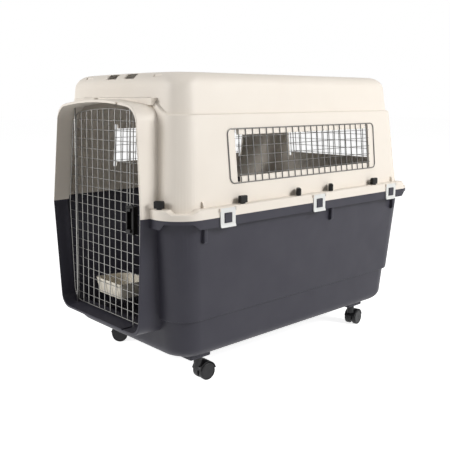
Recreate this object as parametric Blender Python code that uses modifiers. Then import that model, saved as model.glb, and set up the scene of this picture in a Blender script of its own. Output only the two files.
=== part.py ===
"""Giant two-piece pet travel crate on four swivelling twin-wheel casters.

The crate is two plastic half shells that meet on a flanged rim. Bolts with wing nuts and
hinged side clips hold the halves together. A wire door hangs in the front snout and is held
by a squeeze latch, and the upper half has a long wire-covered window in each side and one
in the back.

Metres, +Z up. The origin is on the floor under the middle of the crate, the door faces -Y.
"""

import math

import bmesh
import bpy
from mathutils import Matrix, Vector

# General fits
FIT = 0.0003                    # gap between pieces that touch
THROUGH = 0.02                  # how far a cutter runs past what it cuts
WALL = 0.004                    # moulded wall
ARC_STEPS = 4                   # chords in a corner of a shell

# Rim: the flange where the two halves meet
RIM_FRONT = -0.580
RIM_BACK = 0.610
RIM_HALF_WIDTH = 0.387
RIM_CORNER_FRONT = 0.100
RIM_CORNER_BACK = 0.075
SEAM_Z = 0.559                  # top of the lower half
LOWER_RIM_HEIGHT = 0.028        # along the sides and at the front bolts
UPPER_RIM_HEIGHT = 0.030
LOWER_RIM_THIN = 0.011          # round the corners and along the back
UPPER_RIM_THIN = 0.019
REAR_RIM_EDGE = 0.006           # the rear edge is a wedge down to this
RIM_CHAMFER = 0.0025            # upper rim's edge
REAR_RIM_CHAMFER = 0.016
RIM_PLATE = 0.005
RIM_SKIRT = 0.004
RIM_ROOT = 0.040                # how far the flange runs into the wall, from its edge
RIM_ROOT_STEP = 0.004
RIM_FRONT_TURNS = (0.0, 12.0, 25.0, 33.0, 46.0, 59.0, 72.0, 84.0, 90.0)   # degrees from the front
RIM_BACK_TURNS = (0.0, 14.0, 30.0, 45.0, 60.0, 75.0, 90.0)                # degrees from the side
BOLT_TURN = 25.0                # the front bolts' thick part ends here
SIDE_TURN = 84.0                # the sides' thick part starts here

# Lower half
BASE_Z = 0.107                  # underside of the floor
BASE_ROUND = 0.040
WALL_CORNER = 0.075
LOWER_INSET = 0.019             # wall behind the rim's edge, at the seam
LOWER_DRAFT = 0.075             # inward lean of the wall for each metre down
LEDGE_Z = 0.2385                # belt line near the floor
LEDGE_DEPTH = 0.0095

# Upper half
UPPER_INSET = 0.0265
UPPER_DRAFT = 0.102
STEP_Z = 0.8575                 # line under the roof cap
STEP_DEPTH = 0.0095
STEP_RISE = 0.050               # how far the line climbs over the doorway
STEP_RAMP_OUTER = 0.285
STEP_RAMP_INNER = 0.185
STEP_STATIONS = (0.72, 0.82, 0.91)   # extra points on the front wall, where the line climbs
ROOF_EDGE_Z = 0.936
ROOF_ROUND = 0.045
ROOF_CROWN = 0.003
ROOF_RING_SHARES = ((0.62, 0.962), (0.25, 0.925))   # rings that close the roof, in X and Y
ROOF_WALL = 0.005

# Snout: the short tunnel round the door
LIP_FRONT = -0.610
LIP_LEAN = 0.068                # the upper lip leans back
LIP_CHAMFER = 0.003
SNOUT_HALF_WIDTH = 0.262        # at the seam
SNOUT_BOTTOM_HALF_WIDTH = 0.2335
SNOUT_TOP_HALF_WIDTH = 0.237
SNOUT_BOTTOM_Z = 0.189
SNOUT_SHOULDER_Z = 0.872
SNOUT_CROWN_Z = 0.894
SNOUT_CORNER = 0.046
SNOUT_CROWN_RADIUS = 1.5
SNOUT_ROOT_Y = -0.490           # where the snout ends inside the shell
SNOUT_FLARE = 0.012             # growth from the lip to the root
SNOUT_SIDE_WALL = 0.004
SNOUT_END_WALL = 0.008          # floor and ceiling, thick enough to hold the rods

# Windows
WINDOW_WALL_ANGLE = math.atan(UPPER_DRAFT)
SIDE_WINDOW_FRONT = -0.315
SIDE_WINDOW_BACK = 0.360
WINDOW_LOW = 0.677
WINDOW_HIGH = 0.787
WINDOW_CORNER = 0.010
REAR_WINDOW_HALF = 0.240
GRILLE_MARGIN = 0.027           # grille frame outside the opening, above and below
GRILLE_END_MARGIN = 0.034
GRILLE_PITCH = 0.0308
GRILLE_ROWS = 3
GRILLE_WIRE = 0.0035
GRILLE_CORNER_CUT = 0.008

# Door, set out from its hinge axis. It leans back at the top.
HINGE_X = -0.206
DOOR_Y = -0.553
DOOR_LEAN = math.radians(1.8)
DOOR_WIRE = 0.0035
DOOR_PITCH = 0.034
DOOR_COLUMNS = 13               # upright wires, the first on the hinge rod
DOOR_ROWS = 10
DOOR_GAP_SIDE = 0.0065          # from the tunnel to the middle of the frame wire
DOOR_GAP_END = 0.0090
DOOR_CORNER_DROP = 0.020
HINGE_ROD_RADIUS = 0.0028
ROD_SEAT = 0.0035               # how far a rod reaches into floor and ceiling
ROD_END_PLAY = 0.0008

# Latch on the door
LATCH_X = 0.139
LATCH_Z = 0.5365
LATCH_WIDTH = 0.042
LATCH_HEIGHT = 0.088
LATCH_DEPTH = 0.017
LATCH_WALL = 0.003
LATCH_CORNER = 0.005
LATCH_ROD_RADIUS = 0.0022
LATCH_ROD_OFFSET = 0.007        # each rod's distance from the latch's middle
LATCH_TAB_WIDTH = 0.024
LATCH_TAB_HEIGHT = 0.010
LATCH_TAB_PROUD = 0.006
LATCH_TRAVEL = 0.018
KEEPER_SWING = 0.0045           # sideways room for the rod's arc as the door starts to open

# Food dish, hooked on the inside of the door
DISH_LEFT = -0.098
DISH_RIGHT = 0.054
DISH_TOP = 0.310
DISH_HEIGHT = 0.052
DISH_DEPTH = 0.125
DISH_WALL = 0.0025
DISH_DRAFT = 0.008
DISH_FRONT_CORNER = 0.012
DISH_BACK_CORNER = 0.055
DISH_HOOK_WIDTH = 0.016

# Side clips
CLIP_STATIONS = (-0.3855, 0.034, 0.4536)
CLIP_WIDTH = 0.060
CLIP_TOP_Z = 0.5858
CLIP_BOTTOM_Z = 0.528
CLIP_THICK = 0.0035
CLIP_FLARE = 0.004
CLIP_FLARE_HEIGHT = 0.010
CATCH_WIDTH = 0.029
CATCH_LOW = 0.5415
CATCH_HIGH = 0.5705
CATCH_PROUD = 0.0063
CATCH_PLAY = 0.001
CLIP_PIN_RADIUS = 0.0015
CLIP_PIN_LENGTH = 0.0028
CLIP_EAR = 0.0035
CLIP_EAR_REACH = 0.0055
CLIP_EAR_DROP = 0.0093

# Wing nuts and bolts
NUT_STATIONS = (-0.311, -0.0566, 0.1103, 0.3631)
NUT_TURNS = (90.0, 12.0, 8.0, 90.0)
NUT_INSET = 0.0115              # bolt axis behind the rim's edge
NUT_X = RIM_HALF_WIDTH - NUT_INSET
NUT_FRONT_BESIDE = 0.0325       # front bolt beside the snout
NUT_FRONT_X = SNOUT_HALF_WIDTH + NUT_FRONT_BESIDE
NUT_FRONT_INSET = 0.0118
NUT_FRONT_Y = RIM_FRONT + NUT_FRONT_INSET
NUT_FRONT_TURN = 30.0
NUT_HUB = 0.0080
NUT_HUB_HEIGHT = 0.017
NUT_SPAN = 0.031
NUT_WING_THICK = 0.0140
NUT_WING_LOW = 0.003
NUT_HEIGHT = 0.025
NUT_CORNER = 0.004
BOLT_RADIUS = 0.003
BOLT_HEAD_RADIUS = 0.0058
BOLT_HEAD_HEIGHT = 0.0045
BOLT_REACH = 0.014              # thread inside the nut

# Stiffening ribs under and over the rim
LOWER_RIBS = (-0.459, 0.125, 0.497)
LOWER_RIB_Z = 0.485
LOWER_RIB_INSET = 0.011         # a rib's face behind the rim's edge
LOWER_RIB_WIDTH = 0.013
LOWER_RIB_SLOPE = 0.008
UPPER_RIBS = (-0.459, 0.497)
UPPER_RIB_WIDTH = 0.005
UPPER_RIB_REACH = 0.009         # in front of the wall, at its foot
UPPER_RIB_HEIGHT = 0.018

# Details over the doorway and in the roof's front edge
PAD_INNER = 0.0925
PAD_OUTER = 0.2195
PAD_LOW = 0.885
PAD_HIGH = 0.907
PAD_FRONT = -0.535
PAD_BACK = -0.510
GRIP_INNER = 0.0175             # hand holes through the roof's front edge
GRIP_OUTER = 0.0855
GRIP_LOW = 0.961
GRIP_HIGH = 0.976
GRIP_BACK = -0.450
GROOVE_INNER = 0.174            # shallow grooves beside them
GROOVE_OUTER = 0.212
GROOVE_RADIUS = 0.005
GROOVE_DEPTH = 0.0025
GROOVE_ANGLE = math.radians(50.0)   # place on the roof's round

# Casters
CASTER_INSET = 0.137            # swivel axis behind the rim's edge, at the sides
CASTER_FRONT_INSET = 0.187
CASTER_BACK_INSET = 0.1967
CASTER_X = RIM_HALF_WIDTH - CASTER_INSET
CASTER_FRONT_Y = RIM_FRONT + CASTER_FRONT_INSET
CASTER_BACK_Y = RIM_BACK - CASTER_BACK_INSET
CASTER_HEADINGS = {"front_right": -2.3, "rear_right": 9.4, "front_left": -40.0, "rear_left": 14.0}
PEDESTAL_WIDTH = 0.062
PEDESTAL_LENGTH = 0.084
PEDESTAL_Z = 0.088
PEDESTAL_SHIFT = -0.012
WHEEL_RADIUS = 0.029
WHEEL_WIDTH = 0.017
WHEEL_EDGE = 0.004
WHEEL_STEPS = 18
TRAIL = 0.025
WEB_WIDTH = 0.013
WHEEL_SIDE_PLAY = 0.0006
AXLE_RADIUS = 0.003
HOOD_GAP = 0.002
HOOD_THICK = 0.003
HOOD_START = 10.0
HOOD_END = 165.0
STEM_RADIUS = 0.0055
STEM_DEPTH = 0.012
COLLAR_RADIUS = 0.012
COLLAR_HEIGHT = 0.003
SWIVEL_BOSS_RADIUS = 0.014
SWIVEL_BOSS_LOW = 0.052

# Colours, as sRGB hex
BEIGE = "EDE5DA"
SLATE = "4A4950"
WHITE_PLASTIC = "E9EAEA"
BLACK_PLASTIC = "17161A"
CASTER_BLACK = "232326"
NICKEL_WIRE = "A9A8A6"
CREAM = "E6DFD0"
ZINC_STEEL = "8E8F92"


def linear(channel):
    """One sRGB channel, 0 to 1, as linear light."""
    if channel <= 0.04045:
        return channel / 12.92
    return ((channel + 0.055) / 1.055) ** 2.4


def plastic_or_metal(name, colour, roughness, metallic=0.0):
    """A Principled material of one colour."""
    material = bpy.data.materials.new(name)
    material.use_nodes = True
    shader = material.node_tree.nodes["Principled BSDF"]
    rgb = [linear(int(colour[i:i + 2], 16) / 255) for i in (0, 2, 4)]
    shader.inputs["Base Color"].default_value = (*rgb, 1.0)
    shader.inputs["Roughness"].default_value = roughness
    shader.inputs["Metallic"].default_value = metallic
    material.diffuse_color = (*rgb, 1.0)
    return material


def make_object(name, mesh, material=None, parent=None, turn=None, place=None):
    """Wrap a mesh in an object of the crate's collection."""
    thing = bpy.data.objects.new(name, mesh)
    bpy.data.collections["pet_travel_crate"].objects.link(thing)
    if material is not None:
        mesh.materials.append(material)
    if place is not None:
        thing.location = place
    if turn is not None:
        thing.rotation_euler = turn
    thing.parent = parent
    return thing


def make_empty(name, place, turn=(0.0, 0.0, 0.0), parent=None):
    """An empty that marks a joint and carries what turns on it."""
    pivot = bpy.data.objects.new(name, None)
    pivot.empty_display_size = 0.03
    pivot.location = place
    pivot.rotation_euler = turn
    pivot.parent = parent
    bpy.data.collections["pet_travel_crate"].objects.link(pivot)
    return pivot


def bmesh_to_mesh(shape, name, smooth_angle=None):
    """Turn a bmesh into a mesh with its faces pointing out."""
    bmesh.ops.recalc_face_normals(shape, faces=shape.faces)
    mesh = bpy.data.meshes.new(name)
    shape.to_mesh(mesh)
    shape.free()
    if smooth_angle is not None:
        mesh.shade_smooth()
        mesh.set_sharp_from_angle(angle=math.radians(smooth_angle))
    return mesh


def combine(target, tool, operation):
    """Join, cut or cross the target with a tool, which becomes a hidden helper."""
    modifier = target.modifiers.new(tool.name, "BOOLEAN")
    modifier.operation = operation
    modifier.solver = "EXACT"
    modifier.object = tool
    tool.hide_render = True
    tool.display_type = "WIRE"
    for group in list(tool.users_collection):
        group.objects.unlink(tool)
    bpy.data.collections["cutters"].objects.link(tool)


def rounded_polygon(corners, steps):
    """Outline through (u, v, radius) corners, each radius made an arc of chords."""
    points = []
    for i, (u, v, radius) in enumerate(corners):
        here = Vector((u, v))
        if radius <= 0.0:
            points.append(here)
            continue
        back = Vector(corners[i - 1][:2]) - here
        ahead = Vector(corners[(i + 1) % len(corners)][:2]) - here
        back.normalize()
        ahead.normalize()
        half = back.angle(ahead) / 2
        centre = here + (back + ahead).normalized() * (radius / math.sin(half))
        spoke = here + back * (radius / math.tan(half)) - centre
        turn = math.copysign(math.pi - 2 * half, back.y * ahead.x - back.x * ahead.y)
        for k in range(steps + 1):
            points.append(centre + Matrix.Rotation(turn * k / steps, 2) @ spoke)
    return points


def loft(rings, name, smooth_angle=30.0):
    """A closed skin over rings that all have the same number of points."""
    shape = bmesh.new()
    rows = [[shape.verts.new(point) for point in ring] for ring in rings]
    count = len(rows[0])
    for low, high in zip(rows, rows[1:]):
        for i in range(count):
            j = (i + 1) % count
            shape.faces.new((low[i], low[j], high[j], high[i]))
    shape.faces.new(reversed(rows[0]))
    shape.faces.new(rows[-1])
    return bmesh_to_mesh(shape, name, smooth_angle)


def add_box(shape, low, high, frame=None):
    """Add a box between two corners, in a frame if one is given."""
    size = Vector(high) - Vector(low)
    middle = (Vector(high) + Vector(low)) / 2
    place = Matrix.Translation(middle) @ Matrix.Diagonal((*size, 1.0))
    bmesh.ops.create_cube(shape, size=1.0, matrix=(frame or Matrix()) @ place)


def add_rod(shape, start, end, radius, sides, frame=None):
    """Add a round rod from one point to another, in a frame if one is given."""
    along = Vector(end) - Vector(start)
    turn = Vector((0, 0, 1)).rotation_difference(along).to_matrix().to_4x4()
    place = Matrix.Translation((Vector(start) + Vector(end)) / 2) @ turn
    bmesh.ops.create_cone(shape, cap_ends=True, segments=sides, radius1=radius, radius2=radius,
                          depth=along.length, matrix=(frame or Matrix()) @ place)


def add_prism(shape, outline, low, high, axes=(0, 1, 2), frame=None):
    """Add an outline swept from low to high along the third of the given axes."""
    def corner(point, height):
        place = [0.0, 0.0, 0.0]
        place[axes[0]], place[axes[1]], place[axes[2]] = point[0], point[1], height
        return (frame or Matrix()) @ Vector(place)
    bottom = [shape.verts.new(corner(point, low)) for point in outline]
    top = [shape.verts.new(corner(point, high)) for point in outline]
    count = len(outline)
    faces = [shape.faces.new(bottom), shape.faces.new(top)]
    for i in range(count):
        j = (i + 1) % count
        faces.append(shape.faces.new((bottom[i], bottom[j], top[j], top[i])))
    bmesh.ops.recalc_face_normals(shape, faces=faces)


def shape_object(shape, name, material=None, parent=None, place=None, turn=None, smooth_angle=30.0):
    """Finish a bmesh as an object."""
    return make_object(name, bmesh_to_mesh(shape, name, smooth_angle), material, parent, turn, place)


def both_sides():
    """The two signs of X with the names of the sides."""
    return ((1, "right"), (-1, "left"))


# Shell sections

def plan(inset, z, front_corner, back_corner, stations=()):
    """Level section of a shell: the rim's outline moved inwards.

    Stations are extra points on the straight front, as shares of half its length.
    """
    half = RIM_HALF_WIDTH - inset
    front = RIM_FRONT + inset
    back = RIM_BACK - inset
    outline = rounded_polygon([(-half, front, front_corner), (half, front, front_corner),
                               (half, back, back_corner), (-half, back, back_corner)], ARC_STEPS)
    straight = half - front_corner
    first = outline[:ARC_STEPS + 1] + [Vector((share * straight, front)) for share in stations]
    return [Vector((p.x, p.y, z)) for p in first + outline[ARC_STEPS + 1:]]


def rim_ring(inset, height):
    """Ring of the flange behind its edge, with a height for each place round it.

    The height takes whether the place is at the back, and its turn round the corner.
    """
    points = []
    front = RIM_CORNER_FRONT - inset
    back = RIM_CORNER_BACK - inset
    front_centre = Vector((RIM_HALF_WIDTH - RIM_CORNER_FRONT, RIM_FRONT + RIM_CORNER_FRONT))
    back_centre = Vector((RIM_HALF_WIDTH - RIM_CORNER_BACK, RIM_BACK - RIM_CORNER_BACK))
    for turn in RIM_FRONT_TURNS:
        angle = math.radians(turn)
        points.append(Vector((front_centre.x + front * math.sin(angle), front_centre.y - front * math.cos(angle),
                              height(False, turn))))
    for turn in RIM_BACK_TURNS:
        angle = math.radians(turn)
        points.append(Vector((back_centre.x + back * math.cos(angle), back_centre.y + back * math.sin(angle),
                              height(True, turn))))
    return points + [Vector((-p.x, p.y, p.z)) for p in reversed(points)]


def is_thick(rear, turn):
    """Whether the flange is thick here: along the sides and at the front bolts."""
    if rear:
        return turn == RIM_BACK_TURNS[0]
    return turn <= BOLT_TURN or turn >= SIDE_TURN


def upper_rim_top(rear, turn):
    """Height of the upper flange."""
    return SEAM_Z + (UPPER_RIM_HEIGHT if is_thick(rear, turn) else UPPER_RIM_THIN)


def lower_rim_bottom(rear, turn):
    """Height of the lower flange's underside."""
    return SEAM_Z - (LOWER_RIM_HEIGHT if is_thick(rear, turn) else LOWER_RIM_THIN)


def upper_rim_edge(rear, turn):
    """Height where the upper flange's upright face ends."""
    if rear and not is_thick(rear, turn):
        return SEAM_Z + REAR_RIM_EDGE
    return upper_rim_top(rear, turn) - RIM_CHAMFER


def upper_rim_shoulder():
    """Ring where the upper flange's sloping edge meets its top."""
    edge = rim_ring(RIM_CHAMFER, upper_rim_top)
    wedge = rim_ring(REAR_RIM_CHAMFER, upper_rim_top)
    turns = [(False, turn) for turn in RIM_FRONT_TURNS] + [(True, turn) for turn in RIM_BACK_TURNS]
    turns += list(reversed(turns))
    return [wedge[i] if rear and not is_thick(rear, turn) else edge[i] for i, (rear, turn) in enumerate(turns)]


def lower_inset(z):
    """How far the lower wall lies behind the rim's edge."""
    ledge = LEDGE_DEPTH if z < LEDGE_Z else 0.0
    return LOWER_INSET + LOWER_DRAFT * (SEAM_Z - z) + ledge


def upper_inset(z):
    """How far the upper wall lies behind the rim's edge, below the step."""
    return UPPER_INSET + UPPER_DRAFT * (z - SEAM_Z)


def lower_body(wall, top, name):
    """Lower tub as a solid: its outer form, or with a wall its cavity."""
    corner = WALL_CORNER - wall
    rings = []
    start = BASE_Z + BASE_ROUND
    for k in range(ARC_STEPS):
        angle = math.pi / 2 * k / ARC_STEPS
        radius = BASE_ROUND - wall
        inset = lower_inset(start) + wall + radius * (1 - math.sin(angle))
        rings.append(plan(inset, start - radius * math.cos(angle), corner, corner))
    rings.append(plan(lower_inset(start) + wall, start, corner, corner))
    below = LEDGE_Z - LEDGE_DEPTH / 3
    for z in (below, LEDGE_Z, top):
        rings.append(plan(lower_inset(z) + wall, z, corner, corner))
    return make_object(name, loft(rings, name))


def step_height(point):
    """Height of the line under the roof cap, which climbs over the doorway."""
    if point.y > 0.0:
        return STEP_Z
    part = (STEP_RAMP_OUTER - abs(point.x)) / (STEP_RAMP_OUTER - STEP_RAMP_INNER)
    part = min(max(part, 0.0), 1.0)
    return STEP_Z + STEP_RISE * part * part * (3 - 2 * part)


def roof_rings(inset, edge_z, radius, crown, corner, stations):
    """Rounded roof edge and crowned top, as rings that close towards the middle line."""
    rings = []
    width = RIM_HALF_WIDTH - inset
    for k in range(1, ARC_STEPS + 1):
        angle = math.pi / 2 * k / ARC_STEPS
        draw = radius * (1 - math.cos(angle))
        ring = plan(inset + draw, 0.0, corner, corner, stations)
        for p in ring:
            p.z = edge_z + math.sin(angle) * (radius + crown * (1 - (p.x / width) ** 2))
        rings.append(ring)
    flat = rings[-1]
    for share_x, share_y in ROOF_RING_SHARES:
        ring = [Vector((p.x * share_x, p.y * share_y, 0.0)) for p in flat]
        for p in ring:
            p.z = edge_z + radius + crown * (1 - (p.x / width) ** 2)
        rings.append(ring)
    return rings


def upper_body(name):
    """Outer form of the upper half, with the step under the roof cap."""
    stations = [-share for share in reversed(STEP_STATIONS)] + list(STEP_STATIONS)
    corner = WALL_CORNER
    rings = [plan(upper_inset(SEAM_Z), SEAM_Z + FIT, corner, corner, stations)]
    for shift, depth in ((0.0, 0.0), (STEP_DEPTH / 3, STEP_DEPTH)):
        ring = plan(upper_inset(STEP_Z) + depth, 0.0, corner, corner, stations)
        for p in ring:
            p.z = step_height(p) + shift
        rings.append(ring)
    edge = upper_inset(ROOF_EDGE_Z) + STEP_DEPTH
    rings.append(plan(edge, ROOF_EDGE_Z, corner, corner, stations))
    rings += roof_rings(edge, ROOF_EDGE_Z, ROOF_ROUND, ROOF_CROWN, corner, stations)
    return make_object(name, loft(rings, name))


def upper_cavity(name):
    """Inside of the upper half."""
    corner = WALL_CORNER - WALL
    low = SEAM_Z - THROUGH
    edge = upper_inset(ROOF_EDGE_Z) + STEP_DEPTH + WALL
    rings = [plan(upper_inset(low) + WALL, low, corner, corner),
             plan(upper_inset(SEAM_Z) + WALL, SEAM_Z, corner, corner),
             plan(edge, ROOF_EDGE_Z, corner, corner)]
    rings += roof_rings(edge, ROOF_EDGE_Z, ROOF_ROUND - ROOF_WALL, ROOF_CROWN, corner, ())
    return make_object(name, loft(rings, name))


def snout_upper_corners(side, end):
    """Corners of the snout above the seam, moved outwards by the given amounts."""
    return [(SNOUT_TOP_HALF_WIDTH + side, SNOUT_SHOULDER_Z + end, SNOUT_CORNER),
            (0.0, SNOUT_CROWN_Z + end, SNOUT_CROWN_RADIUS),
            (-SNOUT_TOP_HALF_WIDTH - side, SNOUT_SHOULDER_Z + end, SNOUT_CORNER)]


def snout_lower_corners(side, end):
    """Corners of the snout below the seam, moved outwards by the given amounts."""
    return [(-SNOUT_BOTTOM_HALF_WIDTH - side, SNOUT_BOTTOM_Z - end, SNOUT_CORNER),
            (SNOUT_BOTTOM_HALF_WIDTH + side, SNOUT_BOTTOM_Z - end, SNOUT_CORNER)]


def seam_corners(side, z):
    """The two points where the snout crosses the seam, right one first."""
    width = SNOUT_HALF_WIDTH + side
    return [(width, z, 0.0), (-width, z, 0.0)]


def lip_y(z):
    """Where the doorway's lip lies at a height."""
    return LIP_FRONT + LIP_LEAN * max(z - SEAM_Z, 0.0)


def flare(y):
    """Growth of the snout's width from its lip to its root."""
    return SNOUT_FLARE * (y - LIP_FRONT) / (SNOUT_ROOT_Y - LIP_FRONT)


def snout_solid(name, upper):
    """Outer form of one half of the snout, from its chamfered lip to its root."""
    rings = []
    for back, shrink in ((0.0, -LIP_CHAMFER), (LIP_CHAMFER, 0.0), (None, 0.0)):
        side = shrink if back is not None else SNOUT_FLARE
        if upper:
            right, left = seam_corners(side, SEAM_Z + FIT)
            corners = [left, right] + snout_upper_corners(side, shrink)
        else:
            right, left = seam_corners(side, SEAM_Z)
            corners = snout_lower_corners(side, shrink) + [right, left]
        ring = [Vector((p.x, 0.0, p.y)) for p in rounded_polygon(corners, ARC_STEPS)]
        for p in ring:
            p.y = SNOUT_ROOT_Y if back is None else lip_y(p.z) + back
        rings.append(ring)
    return make_object(name, loft(rings, name))


def tunnel_section(y):
    """Inner section of the snout at a depth, as points of X and Z."""
    side = flare(y) - SNOUT_SIDE_WALL
    right, left = seam_corners(side, SEAM_Z)
    corners = snout_lower_corners(side, -SNOUT_END_WALL) + [right]
    corners += snout_upper_corners(side, -SNOUT_END_WALL) + [left]
    return rounded_polygon(corners, ARC_STEPS)


def tunnel_cutter(name):
    """Clear way through the snout."""
    rings = [[Vector((p.x, y, p.y)) for p in tunnel_section(y)]
             for y in (LIP_FRONT - THROUGH, SNOUT_ROOT_Y + 2 * THROUGH)]
    return make_object(name, loft(rings, name))


def crossing_height(outline, x, top):
    """Where an upright line meets a closed outline, at its top or its bottom."""
    heights = []
    for a, b in zip(outline, outline[1:] + outline[:1]):
        if (a.x - x) * (b.x - x) <= 0.0 and abs(b.x - a.x) > 1e-9:
            heights.append(a.y + (b.y - a.y) * (x - a.x) / (b.x - a.x))
    return max(heights) if top else min(heights)


def crossing_width(outline, z):
    """Half width of a closed outline at a height."""
    widths = []
    for a, b in zip(outline, outline[1:] + outline[:1]):
        if (a.y - z) * (b.y - z) <= 0.0 and abs(b.y - a.y) > 1e-9:
            widths.append(a.x + (b.x - a.x) * (z - a.y) / (b.y - a.y))
    return max(widths)


# Frames of the moving assemblies

def door_frame():
    """Frame of the door: its origin on the hinge axis at the seam, Z along the axis."""
    return Matrix.Translation((HINGE_X, DOOR_Y, SEAM_Z)) @ Matrix.Rotation(-DOOR_LEAN, 4, "X")


def rod_reach(x, top, depth=ROD_SEAT):
    """Height on the door, at a place across it, where a rod's tip seats in the tunnel."""
    section = tunnel_section(DOOR_Y)
    wall = crossing_height(section, HINGE_X + x, top)
    return (wall - SEAM_Z) / math.cos(DOOR_LEAN) + (depth if top else -depth)


def latch_middle():
    """How far the latch rods stand in front of the hinge axis."""
    return HINGE_ROD_RADIUS - LATCH_DEPTH / 2


def bolt_places():
    """Name, place of the bolt's axis on the rim, nut height and turn of each wing nut."""
    places = []
    top = SEAM_Z + UPPER_RIM_HEIGHT
    for sign, side in both_sides():
        for i, (y, turn) in enumerate(zip(NUT_STATIONS, NUT_TURNS), start=1):
            places.append((f"{side}_{i}", sign * NUT_X, y, top, turn))
        places.append((f"front_{side}", sign * NUT_FRONT_X, NUT_FRONT_Y, top, sign * NUT_FRONT_TURN))
    return places


def caster_places():
    """Name, swivel axis and heading of each caster."""
    places = []
    for sign, side in both_sides():
        for end, y in (("front", CASTER_FRONT_Y), ("rear", CASTER_BACK_Y)):
            name = f"{end}_{side}"
            places.append((name, sign * CASTER_X, y, math.radians(CASTER_HEADINGS[name])))
    return places


# Shells

def upper_flange(name):
    """Rim of the upper half: a plate with a skirt, before the body joins it."""
    def flat(z):
        return lambda rear, turn: z

    def plate_low(rear, turn):
        return upper_rim_top(rear, turn) - RIM_PLATE

    low = SEAM_Z + FIT
    middle = SEAM_Z + UPPER_RIM_THIN / 2
    rings = [rim_ring(RIM_ROOT + RIM_ROOT_STEP, flat(middle)), rim_ring(RIM_ROOT, plate_low),
             rim_ring(RIM_SKIRT, plate_low), rim_ring(RIM_SKIRT, flat(low)), rim_ring(0.0, flat(low)),
             rim_ring(0.0, upper_rim_edge), upper_rim_shoulder(), rim_ring(RIM_ROOT, upper_rim_top),
             rim_ring(RIM_ROOT + RIM_ROOT_STEP, flat(middle + RIM_PLATE / 2))]
    return make_object(name, loft(rings, name))


def lower_flange(name):
    """Rim of the lower half: a plate at the seam with a skirt below it."""
    def flat(z):
        return lambda rear, turn: z

    plate_low = SEAM_Z - RIM_PLATE
    rings = [rim_ring(RIM_ROOT, flat(plate_low)), rim_ring(RIM_SKIRT, flat(plate_low)),
             rim_ring(RIM_SKIRT, lower_rim_bottom), rim_ring(0.0, lower_rim_bottom), rim_ring(0.0, flat(SEAM_Z))]
    return make_object(name, loft(rings, name))


def bolt_holes(name):
    """Clearance holes for every bolt, through both rims."""
    shape = bmesh.new()
    for _, x, y, top, _ in bolt_places():
        add_rod(shape, (x, y, SEAM_Z - LOWER_RIM_HEIGHT - THROUGH), (x, y, top + THROUGH),
                BOLT_RADIUS + 2 * FIT, 8)
    return shape_object(shape, name)


def lower_details(name):
    """What is moulded on the outside of the lower half."""
    shape = bmesh.new()
    rib_top = SEAM_Z - RIM_PLATE / 2
    for sign, _ in both_sides():
        wall = RIM_HALF_WIDTH - lower_inset(LOWER_RIB_Z) - WALL / 2
        reach = RIM_HALF_WIDTH - LOWER_RIB_INSET
        for y in LOWER_RIBS:
            outline = [(sign * wall, LOWER_RIB_Z), (sign * (reach - LOWER_RIB_SLOPE), LOWER_RIB_Z),
                       (sign * reach, LOWER_RIB_Z + LOWER_RIB_SLOPE), (sign * reach, rib_top),
                       (sign * wall, rib_top)]
            add_prism(shape, outline, y - LOWER_RIB_WIDTH / 2, y + LOWER_RIB_WIDTH / 2, axes=(0, 2, 1))
        for y in CLIP_STATIONS:
            inner = RIM_HALF_WIDTH + FIT
            outline = [(sign * (RIM_HALF_WIDTH - RIM_SKIRT / 2), CATCH_LOW),
                       (sign * (RIM_HALF_WIDTH + CATCH_PROUD), CATCH_LOW),
                       (sign * (RIM_HALF_WIDTH + CATCH_PROUD), CATCH_HIGH),
                       (sign * inner, CATCH_HIGH), (sign * inner, SEAM_Z - FIT),
                       (sign * (RIM_HALF_WIDTH - RIM_SKIRT / 2), SEAM_Z - FIT)]
            add_prism(shape, outline, y - CATCH_WIDTH / 2, y + CATCH_WIDTH / 2, axes=(0, 2, 1))
    for _, x, y, _ in caster_places():
        middle = y + PEDESTAL_SHIFT
        for_base = BASE_Z + WALL / 2
        add_box(shape, (x - PEDESTAL_WIDTH / 2, middle - PEDESTAL_LENGTH / 2, PEDESTAL_Z),
                (x + PEDESTAL_WIDTH / 2, middle + PEDESTAL_LENGTH / 2, for_base))
    return shape_object(shape, name)


def stem_bosses(name):
    """Posts inside the floor that take the caster stems."""
    shape = bmesh.new()
    for _, x, y, _ in caster_places():
        add_rod(shape, (x, y, PEDESTAL_Z + 0.001), (x, y, PEDESTAL_Z + STEM_DEPTH + 3 * WALL),
                STEM_RADIUS + WALL, 12)
    return shape_object(shape, name)


def stem_sockets(name):
    """Blind holes for the caster stems."""
    shape = bmesh.new()
    for _, x, y, _ in caster_places():
        add_rod(shape, (x, y, PEDESTAL_Z - THROUGH), (x, y, PEDESTAL_Z + STEM_DEPTH + FIT),
                STEM_RADIUS + FIT, 10)
    return shape_object(shape, name)


def rod_seats(name):
    """Sockets for the hinge rod and keepers for the latch rods, above and below.

    A keeper is open to the front, on the path that the rod's tip takes as the door opens.
    """
    shape = bmesh.new()
    frame = door_frame()
    bottom = rod_reach(0.0, False) - ROD_END_PLAY
    top = rod_reach(0.0, True) + ROD_END_PLAY
    add_rod(shape, (0.0, 0.0, bottom), (0.0, 0.0, top), HINGE_ROD_RADIUS + FIT, 10, frame)
    for x, up in ((LATCH_X - LATCH_ROD_OFFSET, True), (LATCH_X + LATCH_ROD_OFFSET, False)):
        across = x - HINGE_X
        tip = rod_reach(across, up)
        end = tip + ROD_END_PLAY if up else tip - ROD_END_PLAY
        middle = latch_middle()
        near = LATCH_ROD_RADIUS + 2 * FIT
        add_box(shape, (across - near - KEEPER_SWING, middle - 2.5 * THROUGH, min(end, 0.0)),
                (across + near, middle + near, max(end, 0.0)), frame)
    return shape_object(shape, name)


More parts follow.
